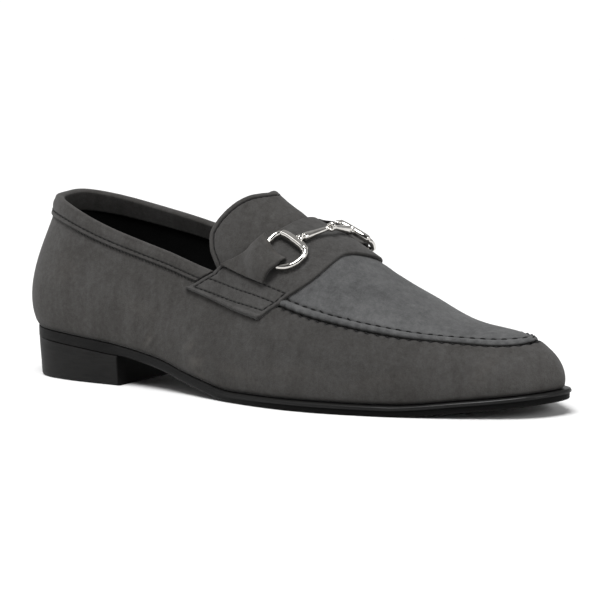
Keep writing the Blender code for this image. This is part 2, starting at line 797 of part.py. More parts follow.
def make_mouthpiece(name, side):
    bar = ring_frame(side)[0]
    link = link_centre()
    way = (link - bar) / np.linalg.norm(link - bar)
    start = bar + way * (RING_WIRE + 2 * CLEARANCE)
    end = link - way * (LINK_RADIUS + CLEARANCE)
    radius = MOUTHPIECE["radius"] * LINK_RADIUS
    turned(name, start, end, MOUTHPIECE["along"], radius, STEEL)


def make_link():
    centre = link_centre()
    turn = np.linspace(-1, 1, 9) * pi / 2
    share = (np.sin(turn) + 1) / 2
    radius = LINK_RADIUS * np.clip(np.cos(turn), LINK_TIP, 1)
    reach = np.array((0, LINK_RADIUS, 0))
    turned("mouthpiece_link", centre - reach, centre + reach, share, radius, STEEL)


def centre_on_origin():
    """Moves every piece so that the middle of the whole box stands over the origin."""
    pieces = list(bpy.context.scene.collection.objects)
    corners = np.array([vertex.co for piece in pieces for vertex in piece.data.vertices])
    middle = (corners.min(axis=0) + corners.max(axis=0)) / 2
    for piece in pieces:
        for vertex in piece.data.vertices:
            vertex.co.x -= middle[0]
            vertex.co.y -= middle[1]


clear_scene()
make_outsole()
make_heel()
make_insole()
make_upper()
make_collar_band()
make_tongue()
make_saddle_strap()
make_ring("ring_lateral", -1)
make_ring("ring_medial", 1)
make_tab("tab_lateral", -1)
make_tab("tab_medial", 1)
make_mouthpiece("mouthpiece_lateral", -1)
make_mouthpiece("mouthpiece_medial", 1)
make_link()
centre_on_origin()
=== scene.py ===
"""Looks of the right bit loafer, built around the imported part: nubuck, stitches, edges and metal.

The surfaces are the part's own: a wall from the foot line to the top line, and an arch over
the instep. Here they are cut finer and given rolled seams, creases, rounded edges and threads.
"""

from math import cos, pi, radians, sin

import bpy
import numpy as np
from mathutils import Matrix, Vector
from mathutils.kdtree import KDTree


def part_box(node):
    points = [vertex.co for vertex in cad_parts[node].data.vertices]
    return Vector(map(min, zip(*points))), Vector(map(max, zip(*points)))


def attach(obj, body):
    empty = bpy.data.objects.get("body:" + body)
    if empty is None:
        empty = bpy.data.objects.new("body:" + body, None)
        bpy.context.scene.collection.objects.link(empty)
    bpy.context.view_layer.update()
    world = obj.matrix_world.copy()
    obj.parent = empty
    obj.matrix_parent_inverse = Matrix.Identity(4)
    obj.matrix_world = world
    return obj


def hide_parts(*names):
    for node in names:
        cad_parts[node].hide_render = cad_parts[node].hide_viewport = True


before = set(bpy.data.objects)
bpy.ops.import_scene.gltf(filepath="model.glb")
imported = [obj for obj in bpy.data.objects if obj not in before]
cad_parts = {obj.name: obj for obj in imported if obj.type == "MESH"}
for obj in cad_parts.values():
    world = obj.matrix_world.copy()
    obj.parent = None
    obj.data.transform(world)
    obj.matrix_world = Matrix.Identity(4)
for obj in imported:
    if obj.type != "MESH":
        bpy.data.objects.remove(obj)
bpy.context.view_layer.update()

# The part's own driving sizes, in metres
SOLE_LENGTH = 0.300
BALL_WIDTH = 0.103
HEEL_HEIGHT = 0.021
TOPLINE_HEIGHT = 0.070
SOLE_THICKNESS = 0.0050
HEEL_LENGTH = 0.0675
UPPER_WALL = 0.0020
TONGUE_THICKNESS = 0.0024
STRAP_THICKNESS = 0.0015
TAB_THICKNESS = 0.0012
COLLAR_THICKNESS = 0.0010
COLLAR_DEPTH = 0.0090
CLEARANCE = 0.0003

# Heel and sole details
HEEL_INSET = 0.0002
LIP_THICKNESS = 0.0020
LIP_REACH = 0.0008
SOLE_MARGIN = 0.0035
EDGE_BEVEL = 0.0009

# Bit
RING_WIRE = 0.0014
RING_HALF_WIDTH = 0.0107
RING_DEPTH = 0.0164
RING_LIFT = 0.0021
LINK_RADIUS = 0.0023
LINK_LIFT = 0.0042
TAB_SWELL = 0.0110
TAB_FALL = 0.0060

# Tongue
TONGUE_INSET = 0.0042
TONGUE_RISE = 0.0010
TONGUE_DROP = 0.0080
TONGUE_GAP = 0.0016


# The part's points round its loops, which set where its plug starts, and the ring's finer cut
AROUND = 96
RING_COUNT = 144


def table(columns, *rows):
    """Rows of figures as one array for each named column."""
    return dict(zip(columns.split(), np.array(rows, float).T))


def unit(vectors):
    """The same directions, each with a length of 1."""
    return vectors / np.linalg.norm(vectors, axis=-1, keepdims=True)


def round_angles(count):
    return np.linspace(0, 2 * pi, count, endpoint=False)


# One row for each section from the back of the heel to the toe. Lengths are shares of
# SOLE_LENGTH, widths from the centre line shares of BALL_WIDTH, rises over the sole's upper
# face shares of TOPLINE_HEIGHT. Out is the wearer's outer side, in the inner one.
SOLE = table(
    "along out in",
    (0.000, 0.000, 0.000),
    (0.020, 0.196, 0.189),
    (0.075, 0.289, 0.295),
    (0.160, 0.318, 0.330),
    (0.270, 0.329, 0.315),
    (0.380, 0.380, 0.266),
    (0.490, 0.452, 0.270),
    (0.600, 0.490, 0.359),
    (0.700, 0.462, 0.475),
    (0.800, 0.388, 0.472),
    (0.890, 0.294, 0.363),
    (0.960, 0.184, 0.187),
    (1.000, -0.015, 0.015),
)
TOPLINE = table(
    "along out in rise_out rise_in ridge",
    (0.038, 0.000, 0.000, 0.965, 0.965, 1.600),
    (0.050, 0.114, 0.104, 0.950, 0.975, 1.600),
    (0.107, 0.206, 0.200, 0.900, 0.940, 1.600),
    (0.195, 0.232, 0.249, 0.800, 0.885, 1.590),
    (0.320, 0.241, 0.276, 0.733, 0.828, 1.560),
    (0.431, 0.265, 0.297, 0.715, 0.780, 1.360),
    (0.511, 0.320, 0.315, 0.658, 0.735, 1.147),
    (0.590, 0.357, 0.329, 0.564, 0.642, 0.993),
    (0.672, 0.358, 0.331, 0.497, 0.548, 0.785),
    (0.748, 0.299, 0.295, 0.438, 0.466, 0.628),
    (0.822, 0.232, 0.230, 0.392, 0.402, 0.481),
    (0.896, 0.149, 0.147, 0.332, 0.338, 0.404),
    (0.946, -0.010, 0.010, 0.320, 0.320, 0.335),
)
# How the wall sets out from the sole and arrives at the top line, in degrees from upright.
WALL = table(
    "foot_out foot_in lean_out lean_in",
    (29, 29, 14, 14),
    (28, 28, 14, 14),
    (21, 21, 14, 14),
    (16, 15, 15, 15),
    (15, 16, 18, 18),
    (14, 22, 25, 25),
    (11, 25, 35, 35),
    (9, 18, 40, 40),
    (7, 8, 45, 45),
    (8, 8, 48, 48),
    (9, 9, 55, 55),
    (13, 13, 62, 62),
    (18, 18, 65, 65),
)
WALL_HANDLE = 0.35
# How square the arch over the instep is, and how far its ridge leans to the inner side
ARCH_FULLNESS = 0.30
ARCH_LEAN = 0.08
# The underside of the sole above the floor, a share of HEEL_HEIGHT, how far the sole's edge
# stands out from the foot line, a share of SOLE_MARGIN, and how much of the lip it has there.
UNDERSIDE = table(
    "along rise margin lip",
    (0.00, 1.00, 0.14, 0),
    (0.08, 0.93, 0.14, 0),
    (0.22, 0.74, 0.17, 0),
    (0.31, 0.535, 0.23, 0),
    (0.40, 0.203, 0.34, 0),
    (0.49, 0.00, 0.57, 0.5),
    (0.60, 0.00, 0.71, 1),
    (0.76, 0.00, 0.86, 1),
    (0.88, 0.15, 0.91, 1),
    (1.00, 0.335, 1.00, 1),
)
# Across runs from -1 at the outer top line over the ridge at 0 to 1 at the inner top line,
# and on down the walls to -2 and 2 at the sole. Stations are shares of SOLE_LENGTH.
STRAP = table(
    "across rear front",
    (-1.23, 0.320, 0.526),
    (-1.00, 0.361, 0.563),
    (-0.94, 0.379, 0.575),
    (-0.86, 0.411, 0.594),
    (-0.74, 0.445, 0.614),
    (-0.58, 0.473, 0.628),
    (-0.38, 0.493, 0.635),
    (-0.20, 0.505, 0.638),
    (0.00, 0.511, 0.646),
    (0.20, 0.512, 0.657),
    (0.40, 0.505, 0.662),
    (0.60, 0.486, 0.655),
    (0.75, 0.460, 0.641),
    (0.86, 0.430, 0.622),
    (1.00, 0.380, 0.590),
    (1.23, 0.338, 0.552),
)
# Station where the plug starts, under the strap
PLUG_REAR = 0.532
# Stations: where the tongue is fully tucked in, and how far behind the strap it is fully free
TONGUE_TUCKED = 0.36
TONGUE_FREE = 0.030
# How closely the tongue's grid lines crowd at its sides
EDGE_CROWDING = 1.4
TONGUE_EDGE = table(
    "across station",
    (-1.00, 0.378),
    (-0.92, 0.346),
    (-0.86, 0.331),
    (-0.80, 0.328),
    (-0.72, 0.336),
    (-0.62, 0.350),
    (-0.42, 0.377),
    (-0.30, 0.391),
    (-0.16, 0.405),
    (0.00, 0.415),
    (0.16, 0.418),
    (0.30, 0.411),
    (0.45, 0.394),
    (0.60, 0.371),
    (0.72, 0.351),
    (0.82, 0.339),
    (0.90, 0.346),
    (1.00, 0.378),
)
# The tab runs along the strap's rear edge from the patch to the ring. Its front edge: shares
# of the way up, stations from the ring's own, and how far across.
TAB_FRONT = table(
    "up station across",
    (0.00, -0.018, 0.920),
    (0.35, -0.004, 0.830),
    (0.70, 0.010, 0.735),
    (1.00, 0.013, 0.640),
)
TAB_FOOT = 0.94
TAB_TIP = 0.555
TAB_HOLLOW = 0.030
# Its rear edge lies this station ahead of the strap's, nearer to it than on the solid
TAB_EDGE = 0.001
# Stations of the rings by side, -1 for the outer and 1 for the inner one
RING_STATION = {-1: 0.536, 1: 0.585}
RING_ACROSS = 0.615
RING_TURN = 0.11
LINK_STATION = 0.588
# How far down the ring its widest place is, a share of its depth, and how square its corners
RING_SHOULDER = 0.40
CORNER_POWER = 3.5
# A mouthpiece from the ring's bar to the link: shares of its length and of LINK_RADIUS
BARREL = table(
    "along radius",
    (0.000, 0.62),
    (0.035, 0.86),
    (0.060, 0.92),
    (0.110, 0.92),
    (0.140, 0.66),
    (0.165, 0.58),
    (0.190, 0.72),
    (0.225, 0.90),
    (0.260, 0.90),
    (0.500, 0.74),
    (0.800, 0.56),
    (0.900, 0.48),
    (0.930, 0.58),
    (0.965, 0.58),
    (1.000, 0.40),
)

# Seams and stitches, in metres: the pitch, length and thread radius of each kind
THREAD = 0.00026
APRON_STITCH = (0.0050, 0.0030, 0.00042)
FINE_STITCH = (0.0029, 0.0021, THREAD)
WHIP_STITCH = (0.0021, 0.0024, THREAD)
# How far a row of stitches runs in from the seam or edge beside it
APRON_ROW = 0.0043
APRON_LOWER_ROW = 0.0010
TONGUE_ROW = 0.0026
COLLAR_ROW = 0.0026
# Half the width of the groove that a row lies in, plain or beside a puffed edge
ROW_HALF = 0.0007
PUFFED_ROW_HALF = 0.0008

# Height of the raised apron seam over the plug at a distance in from the seam line
RIDGE = table(
    "inward height",
    (0.0000, -0.0007),
    (0.0005, 0.0005),
    (0.0012, 0.0012),
    (0.0021, 0.0014),
    (0.0030, 0.0009),
    (0.0038, 0.0000),
    (0.0043, -0.0004),
    (0.0049, -0.0001),
    (0.0060, 0.0001),
    (0.0080, 0.0000),
)
# The wall's own roll below the same line
ROLL = table(
    "outward height",
    (0.0000, -0.0008),
    (0.0007, -0.0001),
    (0.0018, 0.0003),
    (0.0035, 0.0002),
    (0.0060, 0.0000),
)

# Rows of box stitching on the strap's end patches, from its rear to its front edge
PATCH_ROWS = table(
    "rear front",
    (0.945, 0.905),
    (1.065, 1.000),
    (1.190, 1.125),
)

# Creases in the wall: where on the loop (share of length and side), how high up the wall,
# length and width in metres, depth in metres and tilt in degrees
CREASES = table(
    "station side up length width depth tilt",
    (0.283, -1, 0.22, 0.0085, 0.0013, 0.00030, 70),
    (0.296, -1, 0.19, 0.0090, 0.0013, 0.00032, 64),
    (0.310, -1, 0.15, 0.0080, 0.0012, 0.00028, 58),
    (0.222, -1, 0.33, 0.0140, 0.0030, 0.00022, 15),
    (0.372, -1, 0.34, 0.0140, 0.0028, 0.00026, 72),
    (0.400, -1, 0.26, 0.0120, 0.0026, 0.00022, 66),
    (0.560, -1, 0.55, 0.0220, 0.0040, 0.00036, -25),
    (0.610, -1, 0.45, 0.0260, 0.0045, 0.00032, -30),
    (0.660, -1, 0.40, 0.0200, 0.0040, 0.00028, -35),
    (0.120, -1, 0.40, 0.0160, 0.0035, 0.00022, 35),
    (0.560, 1, 0.55, 0.0220, 0.0040, 0.00036, -25),
    (0.620, 1, 0.45, 0.0240, 0.0045, 0.00032, -30),
    (0.340, 1, 0.25, 0.0120, 0.0018, 0.00030, 60),
    (0.300, 1, 0.22, 0.0090, 0.0014, 0.00026, 66),
)
# Places where the nap is rubbed lighter and browner: size along and up in metres, tilt
WORN = table(
    "station side up length height strength tilt",
    (0.405, -1, 0.16, 0.0085, 0.0050, 0.55, 20),
    (0.385, -1, 0.29, 0.0060, 0.0038, 0.40, 50),
    (0.414, -1, 0.04, 0.0060, 0.0030, 0.45, 0),
    (0.296, -1, 0.17, 0.0080, 0.0026, 0.40, 60),
    (0.255, -1, 0.42, 0.0240, 0.0070, 0.14, 8),
    (0.095, -1, 0.55, 0.0150, 0.0160, 0.16, 70),
    (0.610, -1, 0.30, 0.0300, 0.0055, 0.16, -6),
    (0.760, -1, 0.30, 0.0260, 0.0050, 0.14, -8),
    (0.500, -1, 0.20, 0.0220, 0.0045, 0.20, -10),
    (0.930, -1, 0.45, 0.0120, 0.0060, 0.18, 0),
    (0.600, 1, 0.30, 0.0300, 0.0060, 0.18, -6),
    (0.380, 1, 0.22, 0.0120, 0.0050, 0.30, 30),
    (0.930, 1, 0.45, 0.0120, 0.0060, 0.18, 0),
)


def smooth(rows, column, at):
    """A table's column over its first one, as a curve that never overshoots between two rows."""
    knots, values = next(iter(rows.values())), rows[column]
    gaps = np.diff(knots)
    slopes = np.diff(values) / gaps
    tangents = np.zeros_like(values)
    for i in range(1, len(knots) - 1):
        before, after = slopes[i - 1], slopes[i]
        if before * after > 0:
            far = 2 * gaps[i] + gaps[i - 1]
            near = gaps[i] + 2 * gaps[i - 1]
            tangents[i] = (far + near) / (far / before + near / after)
    tangents[0], tangents[-1] = slopes[0], slopes[-1]
    at = np.clip(np.asarray(at, float), knots[0], knots[-1])
    i = np.clip(np.searchsorted(knots, at) - 1, 0, len(gaps) - 1)
    t = (at - knots[i]) / gaps[i]
    return (
        (2 * t**3 - 3 * t**2 + 1) * values[i]
        + (t**3 - 2 * t**2 + t) * gaps[i] * tangents[i]
        + (3 * t**2 - 2 * t**3) * values[i + 1]
        + (t**3 - t**2) * gaps[i] * tangents[i + 1]
    )


def loop_at(angles):
    """LOOP_VALUES at angles round the loop, on curves with even curvature."""
    knots, values = SECTION_ANGLES, LOOP_VALUES
    count = len(knots)
    gaps = np.diff(np.append(knots, knots[0] + 2 * pi))
    matrix = np.zeros((count, count))
    right = np.zeros(values.shape)
    for i in range(count):
        before, after = (i - 1) % count, (i + 1) % count
        matrix[i, before] += gaps[before]
        matrix[i, i] += 2 * (gaps[before] + gaps[i])
        matrix[i, after] += gaps[i]
        rise = (values[after] - values[i]) / gaps[i]
        fall = (values[i] - values[before]) / gaps[before]
        right[i] = 6 * (rise - fall)
    bends = np.linalg.solve(matrix, right)
    at = np.mod(angles, 2 * pi)
    i = np.clip(np.searchsorted(knots, at, side="right") - 1, 0, count - 1)
    j = (i + 1) % count
    gap = gaps[i][:, None]
    u = (at - knots[i])[:, None]
    v = gap - u
    return (
        (bends[i] * v**3 + bends[j] * u**3) / (6 * gap)
        + (values[i] / gap - bends[i] * gap / 6) * v
        + (values[j] / gap - bends[j] * gap / 6) * u
    )


def round_loop(out_side, in_side):
    """Values down the outer side to the toe and back along the inner side to the heel."""
    return np.concatenate([out_side, in_side[-2:0:-1]])


def angle_of(station):
    """Where a share of the sole's length lies on the loop, on the outer side."""
    return np.arccos(1 - 2 * np.clip(station, 0, 1))


SECTION_ANGLES = round_loop(angle_of(SOLE["along"]), 2 * pi - angle_of(SOLE["along"]))
LOOP_VALUES = np.stack(
    [
        round_loop(SOLE["along"], SOLE["along"]) * SOLE_LENGTH,
        round_loop(-SOLE["out"], SOLE["in"]) * BALL_WIDTH,
        round_loop(TOPLINE["along"], TOPLINE["along"]) * SOLE_LENGTH,
        round_loop(-TOPLINE["out"], TOPLINE["in"]) * BALL_WIDTH,
        round_loop(TOPLINE["rise_out"], TOPLINE["rise_in"]) * TOPLINE_HEIGHT,
        round_loop(TOPLINE["ridge"], TOPLINE["ridge"]) * TOPLINE_HEIGHT,
        round_loop(WALL["foot_out"], WALL["foot_in"]) * pi / 180,
        round_loop(WALL["lean_out"], WALL["lean_in"]) * pi / 180,
    ],
    axis=1,
)


def along_sole(column, x):
    return smooth(UNDERSIDE, column, np.asarray(x) / SOLE_LENGTH)


def underside(x):
    return HEEL_HEIGHT * along_sole("rise", x)


def sole_top(x):
    return underside(x) + SOLE_THICKNESS


def outward(plan, angles):
    """The level direction out of a loop in plan, from its curve a small step either way."""
    step = 1e-3
    along = unit((loop_at(angles + step) - loop_at(angles - step))[:, plan])
    return np.column_stack([along[:, 1], -along[:, 0]])


def sole_edge(angles, inset=0.0):
    """The sole's outline in plan, moved in by inset."""
    plan = loop_at(angles)[:, :2]
    return plan - outward([0, 1], angles) * np.reshape(inset, (-1, 1))


def foot_margin(x):
    """How far in from the sole's edge the upper's foot line runs."""
    return SOLE_MARGIN * along_sole("margin", x)


def wall_frame(angles):
    """The foot and top lines and the two handles that bend the wall between them."""
    values = loop_at(angles)
    level_foot = outward([0, 1], angles)
    level_top = outward([2, 3], angles)
    foot_plan = values[:, :2] - level_foot * foot_margin(values[:, 0])[:, None]
    foot = np.column_stack([foot_plan, sole_top(foot_plan[:, 0]) + CLEARANCE])
    top = np.column_stack([values[:, 2:4], sole_top(values[:, 2]) + values[:, 4]])
    reach = WALL_HANDLE * np.linalg.norm(top - foot, axis=1)[:, None]
    flare, lean = values[:, 6], values[:, 7]
    leave = np.column_stack([level_foot * np.sin(flare)[:, None], np.cos(flare)])
    arrive = np.column_stack([-level_top * np.sin(lean)[:, None], np.cos(lean)])
    return foot, foot + leave * reach, top - arrive * reach, top


def wall_at(angles, up):
    """Points on the outer face of the wall, up from 0 at the sole to 1 at the top line."""
    foot, low, high, top = wall_frame(np.ravel(angles))
    up = np.ravel(up)[:, None]
    down = 1 - up
    return (
        down**3 * foot
        + 3 * down**2 * up * low
        + 3 * down * up**2 * high
        + up**3 * top
    )


def arch_at(stations, across, inset=0.0, drop=0.0):
    """Points on the arch over the instep, its feet moved in and down from the top line."""
    stations, across = np.ravel(stations), np.ravel(across)
    feet = []
    for angles in (angle_of(stations), 2 * pi - angle_of(stations)):
        values = loop_at(angles)
        plan = values[:, 2:4] - outward([2, 3], angles) * np.reshape(inset, (-1, 1))
        height = sole_top(values[:, 2]) + values[:, 4] - drop
        feet.append(np.column_stack([plan, height]))
    ridge = sole_top(values[:, 2]) + values[:, 5]
    share = (across[:, None] + 1) / 2
    points = feet[0] * (1 - share) + feet[1] * share
    middle = (feet[0][:, 2] + feet[1][:, 2]) / 2
    from_ridge = across - ARCH_LEAN * (1 - across**2)
    fall = (1 - ARCH_FULLNESS) * from_ridge**2 + ARCH_FULLNESS * from_ridge**4
    points[:, 2] += (ridge - middle) * (1 - fall)
    return points


def upper_at(stations, across):
    """Points on the upper's outer face anywhere from sole to sole over the instep."""
    stations, across = np.ravel(stations), np.ravel(across)
    side = np.abs(across) > 1
    angles = np.where(across < 0, angle_of(stations), 2 * pi - angle_of(stations))
    on_wall = wall_at(angles, np.clip(2 - np.abs(across), 0, 1))
    on_arch = arch_at(stations, np.clip(across, -1, 1))
    return np.where(side[:, None], on_wall, on_arch)


def strap_rear(across):
    return smooth(STRAP, "rear", across)


def strap_surface(stations, across, lift=0.0):
    """Points at lift over the upper's outer face, and the way out there."""
    stations, across = np.ravel(stations), np.ravel(across)
    step = 2e-3
    along = upper_at(stations + step, across) - upper_at(stations - step, across)
    over = upper_at(stations, across + step) - upper_at(stations, across - step)
    normal = unit(np.cross(along, over))
    return upper_at(stations, across) + normal * np.reshape(lift, (-1, 1)), normal


def tongue_at(stations, across):
    """Points on the tongue's outer face, which drops inside the collar towards the rear."""
    step = 2 * pi / AROUND
    plug_rear = (1 - np.cos(round(float(angle_of(PLUG_REAR)) / step) * step)) / 2
    front = plug_rear - TONGUE_GAP / SOLE_LENGTH
    tuck = np.clip((front - stations) / (front - TONGUE_TUCKED), 0, 1)
    against = UPPER_WALL + 2 * CLEARANCE
    inset = against + (TONGUE_INSET - against) * tuck
    points = arch_at(stations, across, np.ravel(inset), np.ravel(tuck) * TONGUE_DROP)
    free = np.clip((strap_rear(across) - stations) / TONGUE_FREE, 0, 1)
    points[:, 2] += TONGUE_RISE * np.ravel(free)
    return points, front


def ring_frame(side):
    """Centre of the ring's bar, its way along the shoe, its way down to the arc, its normal."""
    station, over = RING_STATION[side], side * RING_ACROSS
    lift = CLEARANCE + STRAP_THICKNESS + RING_LIFT
    centre, normal = strap_surface([station], [over], lift)
    centre, normal = centre[0], normal[0]
    ahead, behind = upper_at([station + 0.01, station - 0.01], [over, over])
    level = ahead - behind
    level = unit(level - normal * (level @ normal))
    fall = np.cross(level, normal) * -side
    along = level * cos(RING_TURN) + fall * sin(RING_TURN)
    down = fall * cos(RING_TURN) - level * sin(RING_TURN)
    return centre - down * RING_DEPTH / 2, along, down, normal


def ring_line(side):
    """The centre line of the ring: a straight bar with round corners and a deep arc."""
    bar, along, down, _ = ring_frame(side)
    turn = round_angles(RING_COUNT)
    over, under = np.cos(turn), np.sin(turn)
    arc = under > 0
    power = np.where(arc, 2.0, CORNER_POWER)
    size = (np.abs(over) ** power + np.abs(under) ** power) ** (-1 / power)
    shoulder = RING_DEPTH * RING_SHOULDER
    reach = np.where(arc, RING_DEPTH - shoulder, shoulder)
    wide = RING_HALF_WIDTH * size * over
    deep = shoulder + reach * size * under
    return bar + along * wide[:, None] + down * deep[:, None]


def tab_surface(side, up, wide):
    """Points and normals of a tab's bed on the strap, for shares up it and across it."""
    rear_across = TAB_FOOT + (TAB_TIP - TAB_FOOT) * up
    rear = strap_rear(side * rear_across) + TAB_EDGE
    front_across = smooth(TAB_FRONT, "across", up)
    front = RING_STATION[side] + smooth(TAB_FRONT, "station", up)
    share = (wide + 1) / 2
    stations = rear + (front - rear) * share
    across = rear_across + (front_across - rear_across) * share
    across = across + TAB_HOLLOW * up * (1 - wide**2)
    return strap_surface(stations, side * across, CLEARANCE + STRAP_THICKNESS)


def tab_lift(side, base):
    """How high the inner face of a tab stands at points of its bed, to clear the ring."""
    line = ring_line(side)
    normal = ring_frame(side)[3]
    offset = line[None] - base[:, None]
    height = offset @ normal
    level = np.linalg.norm(offset - height[..., None] * normal, axis=2)
    pick = np.arange(len(base)), level.argmin(axis=1)
    middle = line.mean(axis=0)
    arm = line[pick[1]] - middle
    outside = np.sum((base - middle) * arm, axis=1) > np.sum(arm * arm, axis=1)
    beyond = (level[pick] - RING_WIRE) / np.where(outside, TAB_SWELL, TAB_FALL)
    beyond = np.clip(beyond, 0, 1)
    crown = np.maximum(height[pick], 0) + RING_WIRE + 2 * CLEARANCE
    return CLEARANCE + (crown - CLEARANCE) * np.cos(beyond * pi / 2) ** 2


def link_centre():
    lift = CLEARANCE + STRAP_THICKNESS + LINK_LIFT
    return strap_surface([LINK_STATION], [0.0], lift)[0][0]


def part_shift():
    """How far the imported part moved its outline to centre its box."""
    outline = sole_edge(round_angles(AROUND))
    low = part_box("outsole")[0]
    return np.array([low[0] - outline[:, 0].min(), low[1] - outline[:, 1].min(), 0])


SHIFT = part_shift()


# Mesh helpers


def grid_faces(rows, columns, wrap_rows=False, wrap_columns=False):
    """Quads between neighbours in a grid of points numbered row by row."""
    r = np.arange(rows if wrap_rows else rows - 1)[:, None]
    c = np.arange(columns if wrap_columns else columns - 1)[None]
    a = r * columns + c
    b = r * columns + (c + 1) % columns
    d = (r + 1) % rows * columns + c
    e = (r + 1) % rows * columns + (c + 1) % columns
    return np.stack([a, b, e, d], axis=-1).reshape(-1, 4)


def rim_of(rows, columns):
    """The numbers round the edge of a grid, in order."""
    return (
        list(range(columns))
        + [r * columns + columns - 1 for r in range(1, rows)]
        + [(rows - 1) * columns + c for c in range(columns - 2, -1, -1)]
        + [r * columns for r in range(rows - 2, 0, -1)]
    )


def added(name, data):
    """A new object, put into the scene."""
    made = bpy.data.objects.new(name, data)
    bpy.context.scene.collection.objects.link(made)
    return made


def piece(name, points, faces, material, slot, replaces=(), **marks):
    """One visible piece of the shoe, in place, with marks that its material reads."""
    mesh = bpy.data.meshes.new(name)
    faces = [tuple(int(v) for v in face) for face in faces]
    mesh.from_pydata([tuple(p) for p in np.asarray(points) + SHIFT], [], faces)
    mesh.update()
    mesh.polygons.foreach_set("use_smooth", [True] * len(mesh.polygons))
    mesh.materials.append(material)
    for mark, values in marks.items():
        layer = mesh.attributes.new(mark, "FLOAT", "POINT")
        layer.data.foreach_set("value", np.clip(values, 0, 1).astype(np.float32).ravel())
    made = added(name, mesh)
    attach(made, "root")
    if replaces:
        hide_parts(*replaces)
    return made


def grid_normals(grid):
    """Unit normals of a grid of points, facing the way its rows turn into its columns."""
    normal = np.cross(np.gradient(grid, axis=0), np.gradient(grid, axis=1))
    return normal / (np.linalg.norm(normal, axis=2)[..., None] + 1e-12)


def sheet(name, outer, inner, faces, *kind, **marks):
    """A piece of two skins, outer and inner, which share their marks."""
    points = np.concatenate([outer.reshape(-1, 3), inner.reshape(-1, 3)])
    marks = {mark: np.tile(np.ravel(values), 2) for mark, values in marks.items()}
    return piece(name, points, faces, *kind, **marks)


def slab(name, outer, inner, *kind, **marks):
    """A sheet between two grids of points, closed round its rim."""
    rows, columns = outer.shape[:2]
    count = rows * columns
    skin = grid_faces(rows, columns)
    rim = rim_of(rows, columns)
    sides = [(a, b, b + count, a + count) for a, b in zip(rim, rim[1:] + rim[:1])]
    return sheet(name, outer, inner, [*skin[:, ::-1], *(skin + count), *sides], *kind, **marks)


def band(name, outer, inner, *kind, **marks):
    """A sheet between two grids of points whose columns run round a loop."""
    rows, columns = outer.shape[:2]
    count = rows * columns
    skin = grid_faces(rows, columns, False, True)
    a = np.arange(columns)
    b = np.roll(a, -1)
    foot = np.column_stack([b, a, a + count, b + count])
    head = foot[:, ::-1] + count - columns
    faces = [*skin, *(skin[:, ::-1] + count), *foot, *head]
    return sheet(name, outer, inner, faces, *kind, **marks)


def capped(rows, columns):
    """The faces of a tube of rings of points, closed at both ends."""
    ends = range(columns)[::-1], range((rows - 1) * columns, rows * columns)
    return [*grid_faces(rows, columns, False, True), *ends]


def tube_grid(name, grid, *kind, wrap=False, **marks):
    """A closed form from rings of points, capped at both ends unless it wraps round."""
    grid = np.asarray(grid)
    rows, columns = grid.shape[:2]
    faces = grid_faces(rows, columns, True, True) if wrap else capped(rows, columns)
    return piece(name, grid.reshape(-1, 3), faces, *kind, **marks)


def stacked(name, rings, *kind, **marks):
    """A solid from loops of points, lowest first, closed by rungs across the loop."""
    count = len(rings[0])
    faces = [*grid_faces(len(rings), count, False, True)]
    top = (len(rings) - 1) * count
    for i in range(count // 2):
        rung = list(dict.fromkeys([i, (count - i) % count, count - i - 1, i + 1]))
        if len(rung) > 2:
            faces.append(rung)
            faces.append([top + v for v in reversed(rung)])
    return piece(name, np.concatenate(rings), faces, *kind, **marks)


# A stitch from end to end: how far along it, how thick, both from its middle
STITCH = ((-1, 0.25), (-0.8, 0.75), (-0.35, 1), (0.35, 1), (0.8, 0.75), (1, 0.25))
STITCH_SIDES = 6
STITCH_STANDS = 0.45
STITCH_DIVES = 0.9
TINY = 1e-9


def thread(name, rows, size, slant=0.0):
    """Stitches as short rounded grains along rows of (points, normals), half sunk."""
    pitch, length, radius = size
    points, faces = [], []
    for line, normals in rows:
        steps = np.linalg.norm(np.diff(line, axis=0), axis=1)
        run = np.concatenate([[0], np.cumsum(steps)])
        count = max(int(run[-1] / pitch), 1)
        for k in range(count):
            at = (k + 0.5) * run[-1] / count
            here, ahead, normal = [
                np.array([np.interp(d, run, source[:, axis]) for axis in range(3)])
                for d, source in ((at, line), (at + radius, line), (at, normals))
            ]
            if np.linalg.norm(ahead - here) < TINY:
                continue
            way = unit(ahead - here)
            side = unit(np.cross(way, normal))
            normal = np.cross(side, way)
            way, side = way * cos(slant) + side * sin(slant), side * cos(slant) - way * sin(slant)
            start = len(points)
            for reach, thick in STITCH:
                sink = STITCH_STANDS - STITCH_DIVES * abs(reach) ** 3
                middle = here + way * reach * length / 2 + normal * radius * sink
                for turn in round_angles(STITCH_SIDES):
                    spoke = side * cos(turn) + normal * sin(turn)
                    points.append(middle + spoke * radius * thick)
            ends = capped(len(STITCH), STITCH_SIDES)
            faces += [[start + v for v in face] for face in ends]
    return piece(name, points, faces, THREAD_DARK, "suede")


def swell(distance, width):
    """A smooth hump: 1 at distance 0, 0 from width on."""
    return np.cos(np.clip(np.abs(distance) / width, 0, 1) * pi / 2) ** 2


def crowded(count, power):
    """Shares from -1 to 1 that crowd together at both ends."""
    even = np.linspace(-1, 1, count)
    return np.sign(even) * (1 - (1 - np.abs(even)) ** power)


def round_share(distance, radius):
    """How high a rounded edge stands, as a share: 0 at the edge, 1 from radius in."""
    return np.sqrt(np.clip(1 - (1 - np.clip(distance / radius, 0, 1)) ** 2, 0, 1))


def tree_of(points):
    tree = KDTree(len(points))
    for number, point in enumerate(points):
        tree.insert(point, number)
    tree.balance()
    return tree


def distance_to(tree, points):
    """How far each point lies from the nearest one in the tree."""
    shape = points.shape[:-1]
    return np.array([tree.find(p)[2] for p in points.reshape(-1, 3)]).reshape(shape)


